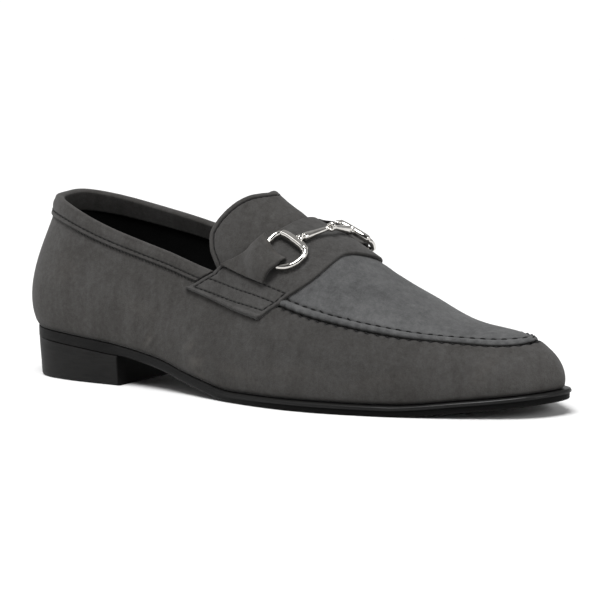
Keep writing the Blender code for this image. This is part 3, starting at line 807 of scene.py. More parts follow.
def grid_runs(grid):
    """The way along the rows and along the columns of a grid, in metres from its start."""
    down = np.linalg.norm(np.diff(grid, axis=0), axis=2)
    over = np.linalg.norm(np.diff(grid, axis=1), axis=2)
    down = np.concatenate([np.zeros((1, grid.shape[1])), np.cumsum(down, axis=0)])
    over = np.concatenate([np.zeros((grid.shape[0], 1)), np.cumsum(over, axis=1)], axis=1)
    return down, over


# Materials


class Nodes:
    """A node tree and a short way to add nodes to it."""

    def __init__(self, owner):
        owner.use_nodes = True
        self.tree = owner.node_tree

    def put(self, socket, value):
        """Set a socket to a value, or link it to another node's output."""
        if isinstance(value, bpy.types.NodeSocket):
            self.tree.links.new(value, socket)
        else:
            socket.default_value = value

    def node(self, kind, inputs=(), **settings):
        """A new node with inputs given by name or number. Returns its outputs."""
        made = self.tree.nodes.new(kind)
        for key, value in settings.items():
            setattr(made, key, value)
        for key, value in dict(inputs).items():
            self.put(made.inputs[key], value)
        return made.outputs


class Finish(Nodes):
    """A material with one Principled shader."""

    def __init__(self, name, roughness, metallic=0.0):
        self.material = bpy.data.materials.new(name)
        super().__init__(self.material)
        self.shader = self.tree.nodes["Principled BSDF"]
        self.feed("Roughness", roughness)
        self.feed("Metallic", metallic)
        self.place = self.node("ShaderNodeTexCoord")["Object"]

    def feed(self, socket, value):
        self.put(self.shader.inputs[socket], value)

    def mark(self, name):
        return self.node("ShaderNodeAttribute", attribute_name=name)["Fac"]

    def noise(self, scale, detail=3.0, rough=0.5, stretch=None):
        place = self.place
        if stretch:
            place = self.node("ShaderNodeMapping", {"Vector": place, "Scale": stretch})["Vector"]
        inputs = {"Vector": place, "Scale": scale, "Detail": detail, "Roughness": rough}
        return self.node("ShaderNodeTexNoise", inputs)["Fac"]

    def math(self, operation, a, b):
        return self.node("ShaderNodeMath", {0: a, 1: b}, operation=operation)[0]

    def blend(self, *parts):
        """The sum of (weight, source) pairs."""
        total = self.math("MULTIPLY", parts[0][1], parts[0][0])
        for weight, source in parts[1:]:
            total = self.math("ADD", total, self.math("MULTIPLY", source, weight))
        return total

    def ramp(self, fac, *stops):
        made = self.tree.nodes.new("ShaderNodeValToRGB")
        self.put(made.inputs["Fac"], fac)
        ends = made.color_ramp.elements
        while len(ends) < len(stops):
            ends.new(0.5)
        for end, (position, colour) in zip(ends, stops):
            end.position = position
            end.color = colour
        return made.outputs["Color"]

    def mix(self, fac, a, b):
        inputs = {0: fac, 6: a, 7: b}
        return self.node("ShaderNodeMix", inputs, data_type="RGBA", blend_type="MIX")[2]

    def bump(self, height, strength, distance, before=None):
        inputs = {"Strength": strength, "Distance": distance, "Height": height}
        if before is not None:
            inputs["Normal"] = before
        return self.node("ShaderNodeBump", inputs)["Normal"]


def grey(value, warm=0.0):
    return (value * (1 + warm), value, value * (1 - warm), 1)


def nubuck(name, tone, warm=0.03):
    """Grey brushed nubuck: cloudy patches, brushed streaks, a fine nap and soft sheen, and painted
    shade where the shade mark says.
    """
    finish = Finish(name, 0.95)
    clouds = finish.noise(24, 4, 0.55)
    streaks = finish.noise(1, 3, 0.6, (170, 170, 24))
    nap = finish.noise(1500, 2, 0.7)
    speck = finish.noise(420, 3, 0.7)
    level = finish.blend((0.34, clouds), (0.22, streaks), (0.26, speck), (0.18, nap))
    colour = finish.ramp(
        level,
        (0.38, grey(tone * 0.64, warm * 1.5)),
        (0.50, grey(tone, warm)),
        (0.62, grey(tone * 1.40, warm * 0.6)),
    )
    rubbed = finish.math("MULTIPLY", finish.mark("worn"), finish.math("ADD", speck, 0.45))
    colour = finish.mix(rubbed, colour, grey(tone * 1.75, 0.09))
    # Painted shade: the shade mark darkens the nubuck towards near black in grooves, seams, edges
    # and hidden faces
    colour = finish.mix(finish.mark("shade"), colour, grey(tone * 0.12, 0.04))
    finish.feed("Base Color", colour)
    finish.feed("Sheen Weight", 0.10)
    finish.feed("Sheen Roughness", 0.5)
    finish.feed("Specular IOR Level", 0.10)
    rough = finish.bump(speck, 0.30, 0.0004)
    finish.feed("Normal", finish.bump(nap, 0.55, 0.00022, rough))
    return finish.material


def black_edge(name, tone, roughness):
    """Dyed leather board, slightly uneven; marks say where shade is painted on it and where it is
    waxed.
    """
    finish = Finish(name, roughness)
    grain = finish.noise(1, 4, 0.6, (120, 120, 900))
    level = finish.blend((0.5, grain), (0.5, finish.noise(60, 3)))
    colour = finish.ramp(level, (0.35, grey(tone * 0.75)), (0.65, grey(tone * 1.3, 0.02)))
    # Painted shade: the shade mark darkens the edge towards near black
    colour = finish.mix(finish.mark("shade"), colour, grey(tone * 0.15))
    finish.feed("Base Color", colour)
    finish.feed("Coat Weight", finish.mark("waxed"))
    finish.feed("Coat Roughness", 0.22)
    finish.feed("Specular IOR Level", 0.08)
    finish.feed("Normal", finish.bump(grain, 0.25, 0.0003))
    return finish.material


def lining_leather():
    finish = Finish("lining_leather", 0.6)
    cells = finish.node("ShaderNodeTexVoronoi", {"Scale": 900, "Vector": finish.place})
    tone = finish.ramp(finish.noise(40), (0.3, grey(0.004)), (0.7, grey(0.008)))
    finish.feed("Base Color", tone)
    finish.feed("Specular IOR Level", 0.15)
    finish.feed("Normal", finish.bump(cells["Distance"], 0.3, 0.0002))
    return finish.material


def polished_metal():
    finish = Finish("polished_metal", 0.1, 1.0)
    dull, bright = (0.56, 0.54, 0.51, 1), (0.70, 0.68, 0.65, 1)
    finish.feed("Base Color", finish.ramp(finish.noise(300), (0.3, dull), (0.7, bright)))
    wear = finish.ramp(finish.noise(700, 4, 0.7), (0.4, grey(0.035)), (0.75, grey(0.09)))
    finish.feed("Roughness", wear)
    finish.feed("Normal", finish.bump(finish.noise(90), 0.08, 0.0004))
    return finish.material


def thread_finish(name, tone):
    finish = Finish(name, 0.75)
    twist = finish.noise(2500, 2)
    colour = finish.ramp(twist, (0.35, grey(tone * 0.6)), (0.65, grey(tone * 1.4)))
    finish.feed("Base Color", colour)
    finish.feed("Specular IOR Level", 0.2)
    finish.feed("Normal", finish.bump(twist, 0.5, 0.0002))
    return finish.material


def floor_finish():
    finish = Finish("pale_floor", 0.95)
    tone = finish.ramp(finish.noise(3), (0.3, grey(0.745)), (0.7, grey(0.755)))
    finish.feed("Base Color", tone)
    finish.feed("Specular IOR Level", 0.0)
    return finish.material


SUEDE = nubuck("nubuck_grey", 0.041, 0.045)
SUEDE_STRAP = nubuck("nubuck_strap", 0.046)
# Painted light: the plug's nubuck is a lighter, bluer copy of the wall's, standing in for the light
# from above on its top
SUEDE_PLUG_PAINTED_LIGHT = nubuck("nubuck_plug_painted_light", 0.073, -0.01)
SOLE_BLACK = black_edge("sole_black", 0.007, 0.55)
HEEL_BLACK = black_edge("heel_black", 0.011, 0.5)
LINING = lining_leather()
METAL = polished_metal()
THREAD_DARK = thread_finish("thread_dark", 0.007)


# The seam line, measured along the apron from the outer side round the toe

SEAM_COUNT = 2400
SEAM_ANGLES = round_angles(SEAM_COUNT)
SEAM_LINE = wall_at(SEAM_ANGLES, np.ones(SEAM_COUNT))
SEAM_STEPS = np.linalg.norm(np.diff(SEAM_LINE, axis=0), axis=1)
SEAM_RUN = np.concatenate([[0], np.cumsum(SEAM_STEPS)])
SEAM_TREE = tree_of(SEAM_LINE)
# The apron seam shows from here on, and comes out from under the strap over this length
SEAM_SHOWS = 0.515
SEAM_FADE = 0.02


def from_seam(points):
    """For each point its distance from the seam line and the seam's run and angle there."""
    found = [SEAM_TREE.find(p) for p in points]
    numbers = np.array([f[1] for f in found])
    distance = np.array([f[2] for f in found])
    return distance, SEAM_RUN[numbers], SEAM_ANGLES[numbers]


def gather(run):
    """The pinch of each hand stitch along the seam, 1 at the stitch and 0 between two."""
    return np.cos(run / APRON_STITCH[0] * pi) ** 2


def apron_share(angle):
    """1 along the open apron seam, fading to 0 under the strap and behind it."""
    station = (1 - np.cos(angle)) / 2
    return np.clip((station - SEAM_SHOWS) / SEAM_FADE, 0, 1)


def rumple(points, scale, seed):
    """Broad soft unevenness, the same on every run, between about -1 and 1."""
    p = points * scale
    return (
        np.sin(p[..., 0] * 1.0 + seed)
        * np.sin(p[..., 2] * 1.7 + seed * 2.1)
        * np.cos(p[..., 1] * 1.3 - seed)
        + 0.5 * np.sin(p[..., 0] * 2.3 - p[..., 2] * 1.9 + seed * 3.3)
    ) / 1.5


def rows_of(rows):
    """A table's rows, one after the other, each with its columns' names."""
    return [dict(zip(rows, figures)) for figures in zip(*rows.values())]


def on_the_wall(spot, points):
    """Offsets of points from a listed spot: along it, beside it and off the wall."""
    angle = float(angle_of(spot["station"]))
    angle = angle if spot["side"] < 0 else 2 * pi - angle
    centre = wall_at([angle], [spot["up"]])[0]
    ahead = unit(wall_at([angle - spot["side"] * 0.01], [spot["up"]])[0] - centre)
    rise = unit(wall_at([angle], [spot["up"] + 0.01])[0] - centre)
    tilt = radians(spot["tilt"])
    along = ahead * cos(tilt) + rise * sin(tilt)
    beside = rise * cos(tilt) - ahead * sin(tilt)
    offset = points - centre
    return offset @ along, offset @ beside, offset @ np.cross(along, beside)


# How a crease bows, how high a lip it raises beside it and how many widths off that is, how
# ragged a rubbed spot's edge is, and how far off the wall's face a spot still counts
CREASE_BOW = 6
CREASE_LIP = 0.45
LIP_BESIDE = 1.6
RAGGED = 0.35
RAGGED_SCALE = 700
SPOT_DEPTH = 0.012


def crease_depth(points):
    """How far each point of the wall dips in the listed creases."""
    total = np.zeros(len(points))
    for crease in rows_of(CREASES):
        along, beside, off = on_the_wall(crease, points)
        width = crease["width"]
        bent = beside + CREASE_BOW * along**2
        fade = swell(along, crease["length"]) * swell(off, SPOT_DEPTH)
        dip = swell(bent, width) - CREASE_LIP * swell(bent - LIP_BESIDE * width, width)
        total += crease["depth"] * dip * fade
    return total


def rubbed_at(points):
    """How much lighter the nap is rubbed at each point of the wall."""
    total = np.zeros(len(points))
    for k, spot in enumerate(rows_of(WORN)):
        along, beside, off = on_the_wall(spot, points)
        reach = np.hypot(along / spot["length"], beside / spot["height"])
        ragged = reach + RAGGED * rumple(points, RAGGED_SCALE, k)
        total += spot["strength"] * swell(ragged, 1.0) * swell(off, SPOT_DEPTH)
    return total


# The wall's looks: points round and up, how they crowd to the top line, the depth of its
# unevenness, of the roll into the sole and of the seam up the heel, and how far those reach
WALL_COUNTS = (760, 64)
WALL_CROWDING = 1.25
WALL_RUMPLE = 0.00022
WELT_DIP = 0.0004
WELT_HEIGHT = 0.05
BACK_DIP = 0.0003
BACK_HALF = 0.016
# The pinch of each hand stitch and how far it reaches, how far the painted shade in the stitch
# notches reaches, and how dark the painted shade in the seam's groove is and how far that reaches
WALL_PINCH = 0.0005
WALL_PINCH_REACH = 0.0024
NOTCH_SHADE_REACH = 0.0016
SEAM_PAINTED_SHADE = 0.95
SEAM_PAINTED_SHADE_REACH = 0.0014
# The low part of the wall is browner by this share
BROWN = 0.10
BROWNER_BELOW = 0.55
# The lining's points round and up, the heights it runs between, how far it stands off inside
LINING_COUNTS = (360, 24)
LINING_HEIGHTS = (0.01, 0.985)
LINING_STANDS = 0.0002
# Painted shade: the wall is painted a little darker over the vamp than at the quarters and at the
# toe
VAMP_SHADE = table(
    "station shade",
    (0.00, 0.00),
    (0.25, 0.01),
    (0.45, 0.15),
    (0.80, 0.17),
    (0.96, 0.02),
    (1.00, 0.00),
)


def wall_grid(around, heights):
    """The wall as a grid from the sole up, its columns round the loop, and its way out."""
    angles = round_angles(around)
    grid = np.array([wall_at(angles, np.full(around, up)) for up in heights])
    wide = np.concatenate([grid[:, -1:], grid, grid[:, :1]], axis=1)
    return angles, grid, -grid_normals(wide)[:, 1:-1]


def make_wall():
    """The quarters and vamp: one band from the sole to the top line all round."""
    around, high = WALL_COUNTS
    up = 1 - (1 - np.linspace(0, 1, high)) ** WALL_CROWDING
    angles, grid, normal = wall_grid(around, up)
    flat, normal = grid.reshape(-1, 3), normal.reshape(-1, 3)
    distance, run, angle = from_seam(flat)
    open_seam = apron_share(angle)
    pinch = gather(run) * swell(distance, WALL_PINCH_REACH)
    lift = open_seam * (smooth(ROLL, "height", distance) - WALL_PINCH * pinch)
    lift += WALL_RUMPLE * rumple(flat, 75, 1.0) - crease_depth(flat)
    height = np.repeat(up, around)
    welt = swell(height, WELT_HEIGHT)
    turn = np.tile(angles, high)
    back = swell(np.minimum(turn, 2 * pi - turn), BACK_HALF)
    lift -= WELT_DIP * welt + BACK_DIP * back
    outer = flat + normal * lift[:, None]
    inner = flat - normal * UPPER_WALL * 0.5
    notch = gather(run) ** 2 * swell(distance - APRON_LOWER_ROW, NOTCH_SHADE_REACH)
    # Painted shade: in the seam's groove and the stitch notches, along the wall's foot at the sole,
    # along the back seam and over the vamp
    shade = open_seam * (SEAM_PAINTED_SHADE * swell(distance, SEAM_PAINTED_SHADE_REACH) + 0.75 * notch)
    shade += 0.45 * welt + 0.6 * back + smooth(VAMP_SHADE, "shade", (1 - np.cos(turn)) / 2)
    marks = {"shade": shade, "worn": rubbed_at(flat) + BROWN * swell(height, BROWNER_BELOW)}
    outer, inner = outer.reshape(grid.shape), inner.reshape(grid.shape)
    band("quarters", outer, inner, SUEDE, "suede", ("upper",), **marks)


def make_lining():
    """The black inner skin, from the insole to just under the collar's facing."""
    around, high = LINING_COUNTS
    _, grid, normal = wall_grid(around, np.linspace(*LINING_HEIGHTS, high))
    near = grid - normal * UPPER_WALL * 0.55
    far = grid - normal * (UPPER_WALL + LINING_STANDS)
    band("lining", near, far, LINING, "lining")


# Where on the plug the flex lines of the first steps show: station, depth and half width
FLEX = table(
    "station depth width",
    (0.668, 0.00022, 0.0042),
    (0.700, 0.00018, 0.0050),
)
FLEX_BOW = 0.02
# The raised seam is lower by this share at the toe, falling from this station on over this much
RIDGE_FALL = 0.55
RIDGE_FALLS_FROM = 0.80
RIDGE_FALLS_OVER = 0.14
# The plug's points along and across, where it stops short of the tip, and its soft relief
PLUG_COUNTS = (260, 190)
PLUG_CROWDING = 1.55
PLUG_TIP = 0.004
PLUG_RUMPLE = 0.00018
PLUG_PINCH = 0.0006
PLUG_PINCH_REACH = 0.0026


def make_plug():
    """The plug with its raised hand-sewn edge, open behind under the strap."""
    rows, columns = PLUG_COUNTS
    turn = np.linspace(float(angle_of(PLUG_REAR)), pi - PLUG_TIP, rows)
    stations = np.repeat((1 - np.cos(turn)) / 2, columns)
    wide = np.tile(crowded(columns, PLUG_CROWDING), rows)
    flat = arch_at(stations, wide)
    grid = flat.reshape(rows, columns, 3)
    normal = grid_normals(grid).reshape(-1, 3)
    distance, run, angle = from_seam(flat)
    open_seam = apron_share(angle)
    ridge = smooth(RIDGE, "height", distance)
    ridge *= 1 - RIDGE_FALL * np.clip((stations - RIDGE_FALLS_FROM) / RIDGE_FALLS_OVER, 0, 1)
    pinch = gather(run) * swell(distance, PLUG_PINCH_REACH)
    lift = open_seam * (ridge - PLUG_PINCH * pinch) + PLUG_RUMPLE * rumple(flat, 60, 2.0)
    for flex in rows_of(FLEX):
        ahead = (stations - flex["station"] + FLEX_BOW * wide**2) * SOLE_LENGTH
        lift -= flex["depth"] * swell(ahead, flex["width"]) * (1 - wide**2)
    outer = (flat + normal * lift[:, None]).reshape(grid.shape)
    inner = (flat - normal * UPPER_WALL).reshape(grid.shape)
    groove = swell(distance - APRON_ROW, ROW_HALF)
    # Painted shade in the seam's groove, the stitch pinches and the row's groove
    shade = open_seam * (SEAM_PAINTED_SHADE * swell(distance, 0.0010) + 0.4 * pinch + 0.5 * groove)
    slab("plug", outer, inner, SUEDE_PLUG_PAINTED_LIGHT, "suede", ("upper",), shade=shade)
    return outer.reshape(-1, 3), normal


# Where the apron's rows start, the points of their line, and the slant of the lower row
STITCHES_START = 0.545
STITCH_LINE_COUNT = 700
FOOT_SLANT = 0.5


def make_apron_stitches(plug_points, plug_normals):
    """The dashed row inside the raised seam, and the stitches at its foot on the wall."""
    tree = tree_of(plug_points)
    first = float(angle_of(STITCHES_START))
    angles = np.linspace(first, 2 * pi - first, STITCH_LINE_COUNT)
    line = wall_at(angles, np.ones(len(angles)))
    way = unit(np.gradient(line, axis=0))
    places, normals = [], []
    for here, along in zip(line, way):
        inward = unit(np.cross(plug_normals[tree.find(here)[1]], along))
        found = [f[1] for f in tree.find_n(here + inward * APRON_ROW, 4)]
        places.append(np.mean(plug_points[found], axis=0))
        normals.append(np.mean(plug_normals[found], axis=0))
    thread("apron_stitches", [(np.array(places), np.array(normals))], APRON_STITCH)

    height = np.linalg.norm(line - wall_at(angles, np.zeros(len(angles))), axis=1)
    foot = wall_at(angles, 1 - APRON_LOWER_ROW / height)
    below = line - wall_at(angles, np.full(len(angles), 0.98))
    normal = unit(np.cross(way, below))
    row = [(foot - normal * THREAD, normal)]
    thread("apron_foot_stitches", row, APRON_STITCH, FOOT_SLANT)


# The collar's looks: its points along, how high its wall stands, its padding, its edge, how far
# its inner leg, its hidden face and its fold lie off the wall, and its whip stitches
COLLAR_STATIONS = 420
COLLAR_WALL = 0.068
COLLAR_PUFF = 0.0005
COLLAR_GROOVE = 0.0004
COLLAR_LEFT_OPEN = 0.004
COLLAR_ROUND = 0.0009
COLLAR_OFF_INSIDE = 0.0004
COLLAR_OFF_WALL = 0.00015
COLLAR_FOLD = 0.002
WHIP_FROM = 0.52
WHIP_IN = 0.0002
WHIP_STANDS = 0.0004
WHIP_SLANT = 0.9


def collar_point(share, below, lift):
    """A point of the collar at a depth below the top line and a lift off the wall's face."""
    side = np.where(share < 0, -1.0, 1.0)
    up = 1 - below / COLLAR_WALL
    end = angle_of(strap_rear(side * (2 - up)) - COLLAR_LEFT_OPEN) * np.abs(share)
    angle = np.where(share < 0, end, 2 * pi - end)
    here = wall_at(angle, up)
    up_way = unit(here - wall_at(angle, up - 2e-3))
    normal = unit(np.cross(wall_at(angle + 1e-3, up) - here, up_way))
    return here + normal * np.reshape(lift, (-1, 1)), normal, up_way


def make_collar():
    """The folded collar band: a puffed outer leg, a round top edge and an inner facing."""
    share = np.linspace(-1, 1, COLLAR_STATIONS)
    rings, shades = [], []
    full = COLLAR_THICKNESS + CLEARANCE
    row = COLLAR_DEPTH - COLLAR_ROW

    def add(below, lift, shade):
        rings.append(collar_point(share, np.full(len(share), below), lift)[0])
        shades.append(shade)

    for below in np.linspace(COLLAR_DEPTH, 0.0, 34):
        dip = swell(below - row, PUFFED_ROW_HALF)
        puff = COLLAR_PUFF * swell(below - row / 2, row / 2) - COLLAR_GROOVE * dip
        edge = float(round_share(COLLAR_DEPTH - below, COLLAR_ROUND))
        lift = CLEARANCE + COLLAR_THICKNESS * (0.2 + 0.8 * edge) + puff * edge
        # Painted shade in the stitch groove and along the outer leg's foot against the wall
        add(below, lift, 0.5 * dip + 0.9 * swell(COLLAR_DEPTH - below, ROW_HALF))
    top, normal, up_way = collar_point(share, np.zeros(len(share)), 0.0)
    middle = top - normal * UPPER_WALL / 2
    radius = UPPER_WALL / 2 + full
    for turn in np.linspace(0.1 * pi, 0.9 * pi, 9):
        rings.append(middle + normal * radius * cos(turn) + up_way * full * sin(turn))
        shades.append(0.0)
    # The inner facing gets a little painted shade
    for below in np.linspace(0.0, COLLAR_DEPTH, 16):
        add(below, -(UPPER_WALL + full), 0.2)
    # The hidden faces of the fold get painted shade
    for below, lift, shade in (
        (COLLAR_DEPTH, -(UPPER_WALL + COLLAR_OFF_INSIDE), 0.5),
        (COLLAR_FOLD, -(UPPER_WALL + COLLAR_OFF_INSIDE), 0.5),
        (COLLAR_FOLD, COLLAR_OFF_WALL, 0.8),
        (COLLAR_DEPTH, COLLAR_OFF_WALL, 0.8),
    ):
        add(below, lift, shade)
    grid = np.array(rings).transpose(1, 0, 2)[::-1]
    shade = np.tile(np.array(shades), (len(share), 1))
    tube_grid("collar_band_dressed", grid, SUEDE, "suede", ("collar_band",), shade=shade)

    line, normal, _ = collar_point(share, np.full(len(share), row), full - COLLAR_GROOVE / 2)
    thread("collar_stitches", [(line, normal)], FINE_STITCH)
    for name, keep in (
        ("collar_whip_lateral", share < -WHIP_FROM),
        ("collar_whip_medial", share > WHIP_FROM),
    ):
        depth = np.full(keep.sum(), COLLAR_DEPTH - WHIP_IN)
        line, normal, _ = collar_point(share[keep], depth, CLEARANCE + WHIP_STANDS)
        thread(name, [(line, normal)], WHIP_STITCH, WHIP_SLANT)


# The tongue's looks: its points along and across, its piped and rounded edge and the groove
# sewn inside it
TONGUE_COUNTS = (120, 170)
TONGUE_PIPE = 0.0002
TONGUE_GROOVE = 0.0006
TONGUE_ROUND = 0.0006


def make_tongue():
    """The standing tongue: padded, with a sewn groove inside its free edge."""
    rows, columns = TONGUE_COUNTS
    across = crowded(columns, EDGE_CROWDING)
    t = np.linspace(0, 1, rows) ** 1.5
    rear = smooth(TONGUE_EDGE, "station", across)
    front = tongue_at(rear, across)[1]
    station = rear[None] + (front - rear[None]) * t[:, None]
    wide = np.broadcast_to(across[None], station.shape)
    grid = tongue_at(station.ravel(), wide.ravel())[0].reshape(rows, columns, 3)
    normal = grid_normals(grid)
    fine = np.linspace(-1, 1, 1500)
    edge = tongue_at(smooth(TONGUE_EDGE, "station", fine), fine)[0]
    distance = distance_to(tree_of(edge), grid)
    round_off = 1 - round_share(distance, TONGUE_ROUND)
    groove = swell(distance - TONGUE_ROW, PUFFED_ROW_HALF) * np.clip((0.34 - wide) / 0.2, 0, 1)
    pipe = swell(distance - TONGUE_ROW / 2, TONGUE_ROW / 2)
    lift = TONGUE_PIPE * pipe - TONGUE_GROOVE * groove - TONGUE_ROUND * round_off
    outer = grid + normal * lift[..., None]
    inner = grid - normal * (TONGUE_THICKNESS - 2 * TONGUE_ROUND * round_off)[..., None]
    # Painted shade in the sewn groove
    slab("tongue_dressed", outer, inner, SUEDE, "suede", ("tongue",), shade=0.72 * groove)
    places, ways = [], []
    for c in range(6, columns - 6):
        r = int(round(float(np.interp(TONGUE_ROW, distance[:, c], np.arange(rows)))))
        places.append(outer[r, c])
        ways.append(normal[r, c])
    thread("tongue_stitches", [(np.array(places), np.array(ways))], FINE_STITCH)


def strap_station(share, across):
    rear = strap_rear(across)
    return rear + (smooth(STRAP, "front", across) - rear) * share


# The strap's looks: points, edges, the grooves of its stitching and the thick turned end of its
# patches, with where that lies and how wide it is
STRAP_COUNTS = (96, 320)
STRAP_CROWDING = 1.25
STRAP_EDGE = 0.0009
STRAP_GROOVE = 0.00035
STRAP_OFF_WALL = 0.00012
PATCH_WELT = 0.0009
WELT_IN = 0.0013
WELT_HALF = 0.0020
PATCH_INSET = 0.045


def patch_rows(side):
    """The box stitching of one end patch, as lines of places in the strap's own terms."""
    lines = []
    share = np.linspace(PATCH_INSET, 1 - PATCH_INSET, 120)
    rears, reach = PATCH_ROWS["rear"], PATCH_ROWS["front"] - PATCH_ROWS["rear"]
    for rear, forward in zip(rears, reach):
        lines.append((share, side * (rear + forward * share)))
    for end in (PATCH_INSET, 1 - PATCH_INSET):
        ends = rears + reach * end
        lines.append((np.full(80, end), side * np.linspace(ends[0], ends[-1], 80)))
    return lines


def make_strap():
    """The saddle strap with rounded edges, and its sewn end patches."""
    rows, columns = STRAP_COUNTS
    t = np.linspace(0, 1, rows)
    t = 0.5 - 0.5 * np.cos(t * pi) * (1 - 0.25 * np.sin(t * pi) ** 2)
    t[0], t[-1] = 0, 1
    across = STRAP["across"][-1] * crowded(columns, STRAP_CROWDING)
    wide = np.broadcast_to(across[None], (rows, columns))
    base, normal = strap_surface(strap_station(t[:, None], wide), wide)
    base, normal = base.reshape(rows, columns, 3), normal.reshape(rows, columns, 3)
    down, over = grid_runs(base)
    end = np.minimum(over, over[:, -1:] - over)
    edges = np.minimum(np.minimum(down, down[-1:] - down), end)
    round_off = round_share(edges, STRAP_EDGE)
    sewn, threads = [], []
    for share, where in patch_rows(-1) + patch_rows(1):
        station = strap_station(share, where)
        lift = CLEARANCE + STRAP_THICKNESS - STRAP_GROOVE / 2
        threads.append(strap_surface(station, where, lift))
        sewn.append(strap_surface(station, where)[0])
    row_dip = swell(distance_to(tree_of(np.concatenate(sewn)), base), ROW_HALF)
    welt = swell(end - WELT_IN, WELT_HALF)
    lift = CLEARANCE + STRAP_THICKNESS * (0.25 + 0.75 * round_off)
    lift += PATCH_WELT * welt * round_off - STRAP_GROOVE * row_dip
    outer = base + normal * lift[..., None]
    inner = base + normal * STRAP_OFF_WALL
    kind = SUEDE_STRAP, "suede", ("saddle_strap",)
    # Painted shade in the stitching grooves and on the rounded edges
    shade = 0.5 * row_dip + 0.45 * (1 - round_off)
    slab("saddle_strap_dressed", outer, inner, *kind, shade=shade)
    thread("patch_stitches", threads, FINE_STITCH)


# How much thicker the sleeve on the ring's bar is than the ring's wire, and how it blends in
SLEEVE = 0.42
SLEEVE_BLEND = 0.12
WIRE_SIDES = 20


def make_ring(name, side):
    """The ring, with the mouthpiece's sleeve round its bar."""
    line = ring_line(side)
    normal = ring_frame(side)[3]
    way = unit(np.roll(line, -1, axis=0) - np.roll(line, 1, axis=0))
    out = np.cross(way, normal)
    place = round_angles(RING_COUNT)
    sleeve = np.clip((-np.sin(place) - np.abs(np.cos(place))) / SLEEVE_BLEND, 0, 1)
    radius = RING_WIRE * (1 + SLEEVE * sleeve)[:, None, None]
    turn = round_angles(WIRE_SIDES)[None, :, None]
    grid = line[:, None] + (out[:, None] * np.cos(turn) + normal * np.sin(turn)) * radius
    tube_grid(name + "_polished", grid[:, ::-1], METAL, "steel", (name,), wrap=True)


# The tab's points, its rounded edge, how often its swell is evened out, and its worn tip
TAB_COUNTS = (110, 80)
TAB_ROUND = 0.0009
TAB_SMOOTHINGS = 16
TAB_TIP_WORN = 0.0012

# The mouthpiece's points along and round
BARREL_RINGS = 110
BARREL_SIDES = 32


def make_tab(name, side):
    """The tab on the strap that swells over the ring's arc and ends inside the ring."""
    rows, columns = TAB_COUNTS
    up, wide = np.meshgrid(np.linspace(0, 1, rows), np.linspace(-1, 1, columns), indexing="ij")
    base, normal = tab_surface(side, up.ravel(), wide.ravel())
    lift = tab_lift(side, base).reshape(up.shape)
    for _ in range(TAB_SMOOTHINGS):
        near = lift[:-2, 1:-1] + lift[2:, 1:-1] + lift[1:-1, :-2] + lift[1:-1, 2:]
        lift[1:-1, 1:-1] = near / 4
    base, normal = base.reshape(*up.shape, 3), normal.reshape(*up.shape, 3)
    down, over = grid_runs(base)
    edge = np.minimum(np.minimum(over, over[:, -1:] - over), down[-1:] - down)
    round_off = round_share(edge, TAB_ROUND)
    outer = base + normal * (lift + TAB_THICKNESS * (0.25 + 0.75 * round_off))[..., None]
    inner = base + normal * (lift * 0.98)[..., None]
    worn = 0.25 * swell(down[-1:] - down - TAB_TIP_WORN, TAB_TIP_WORN)
    turned_over = slice(None, None, -1 if side > 0 else 1), slice(None, None, -1)
    # Painted shade on the tab's rounded edges
    shade = 0.5 * (1 - round_off)
    outer, inner, shade, worn = (a[turned_over] for a in (outer, inner, shade, worn))
    kind = SUEDE, "suede", (name,)
    slab(name + "_dressed", outer, inner, *kind, shade=shade, worn=worn)


def make_mouthpiece(name, side):
    """One half of the mouthpiece, turned, from the sleeve on the ring's bar to the eye."""
    bar, link = ring_frame(side)[0], link_centre()
    axis = unit(link - bar)
    start = bar + axis * RING_WIRE * 0.8
    way = link - axis * LINK_RADIUS * 0.6 - start
    level = unit(np.cross(axis, (0, 0, 1)))
    over = np.cross(level, axis)
    turn = round_angles(BARREL_SIDES)[:, None]
    spokes = level * np.cos(turn) + over * np.sin(turn)
    share = np.linspace(0, 1, BARREL_RINGS)
    radius = smooth(BARREL, "radius", share) * LINK_RADIUS
    grid = [start + way * s + spokes * r for s, r in zip(share, radius)]
    tube_grid(name + "_polished", grid, METAL, "steel", (name,))


# The eye's radius and wire, shares of LINK_RADIUS, how it leans, and its points
EYE = 0.62
EYE_WIRE = 0.38
EYE_LEAN = 0.25
EYE_COUNTS = (48, 16)


def make_link():
    """The eye in the middle that joins the two halves of the mouthpiece."""
    centre = link_centre()
    across = np.array((0, 1, 0))
    grid = []
    for a in round_angles(EYE_COUNTS[0]):
        spoke = np.array((cos(a), EYE_LEAN * cos(a), sin(a)))
        ring = centre + spoke * LINK_RADIUS * EYE
        around = round_angles(EYE_COUNTS[1])[:, None]
        wire = spoke * np.cos(around) + across * np.sin(around)
        grid.append(ring + wire * LINK_RADIUS * EYE_WIRE)
    kind = METAL, "steel", ("mouthpiece_link",)
    tube_grid("mouthpiece_link_polished", grid, *kind, wrap=True)


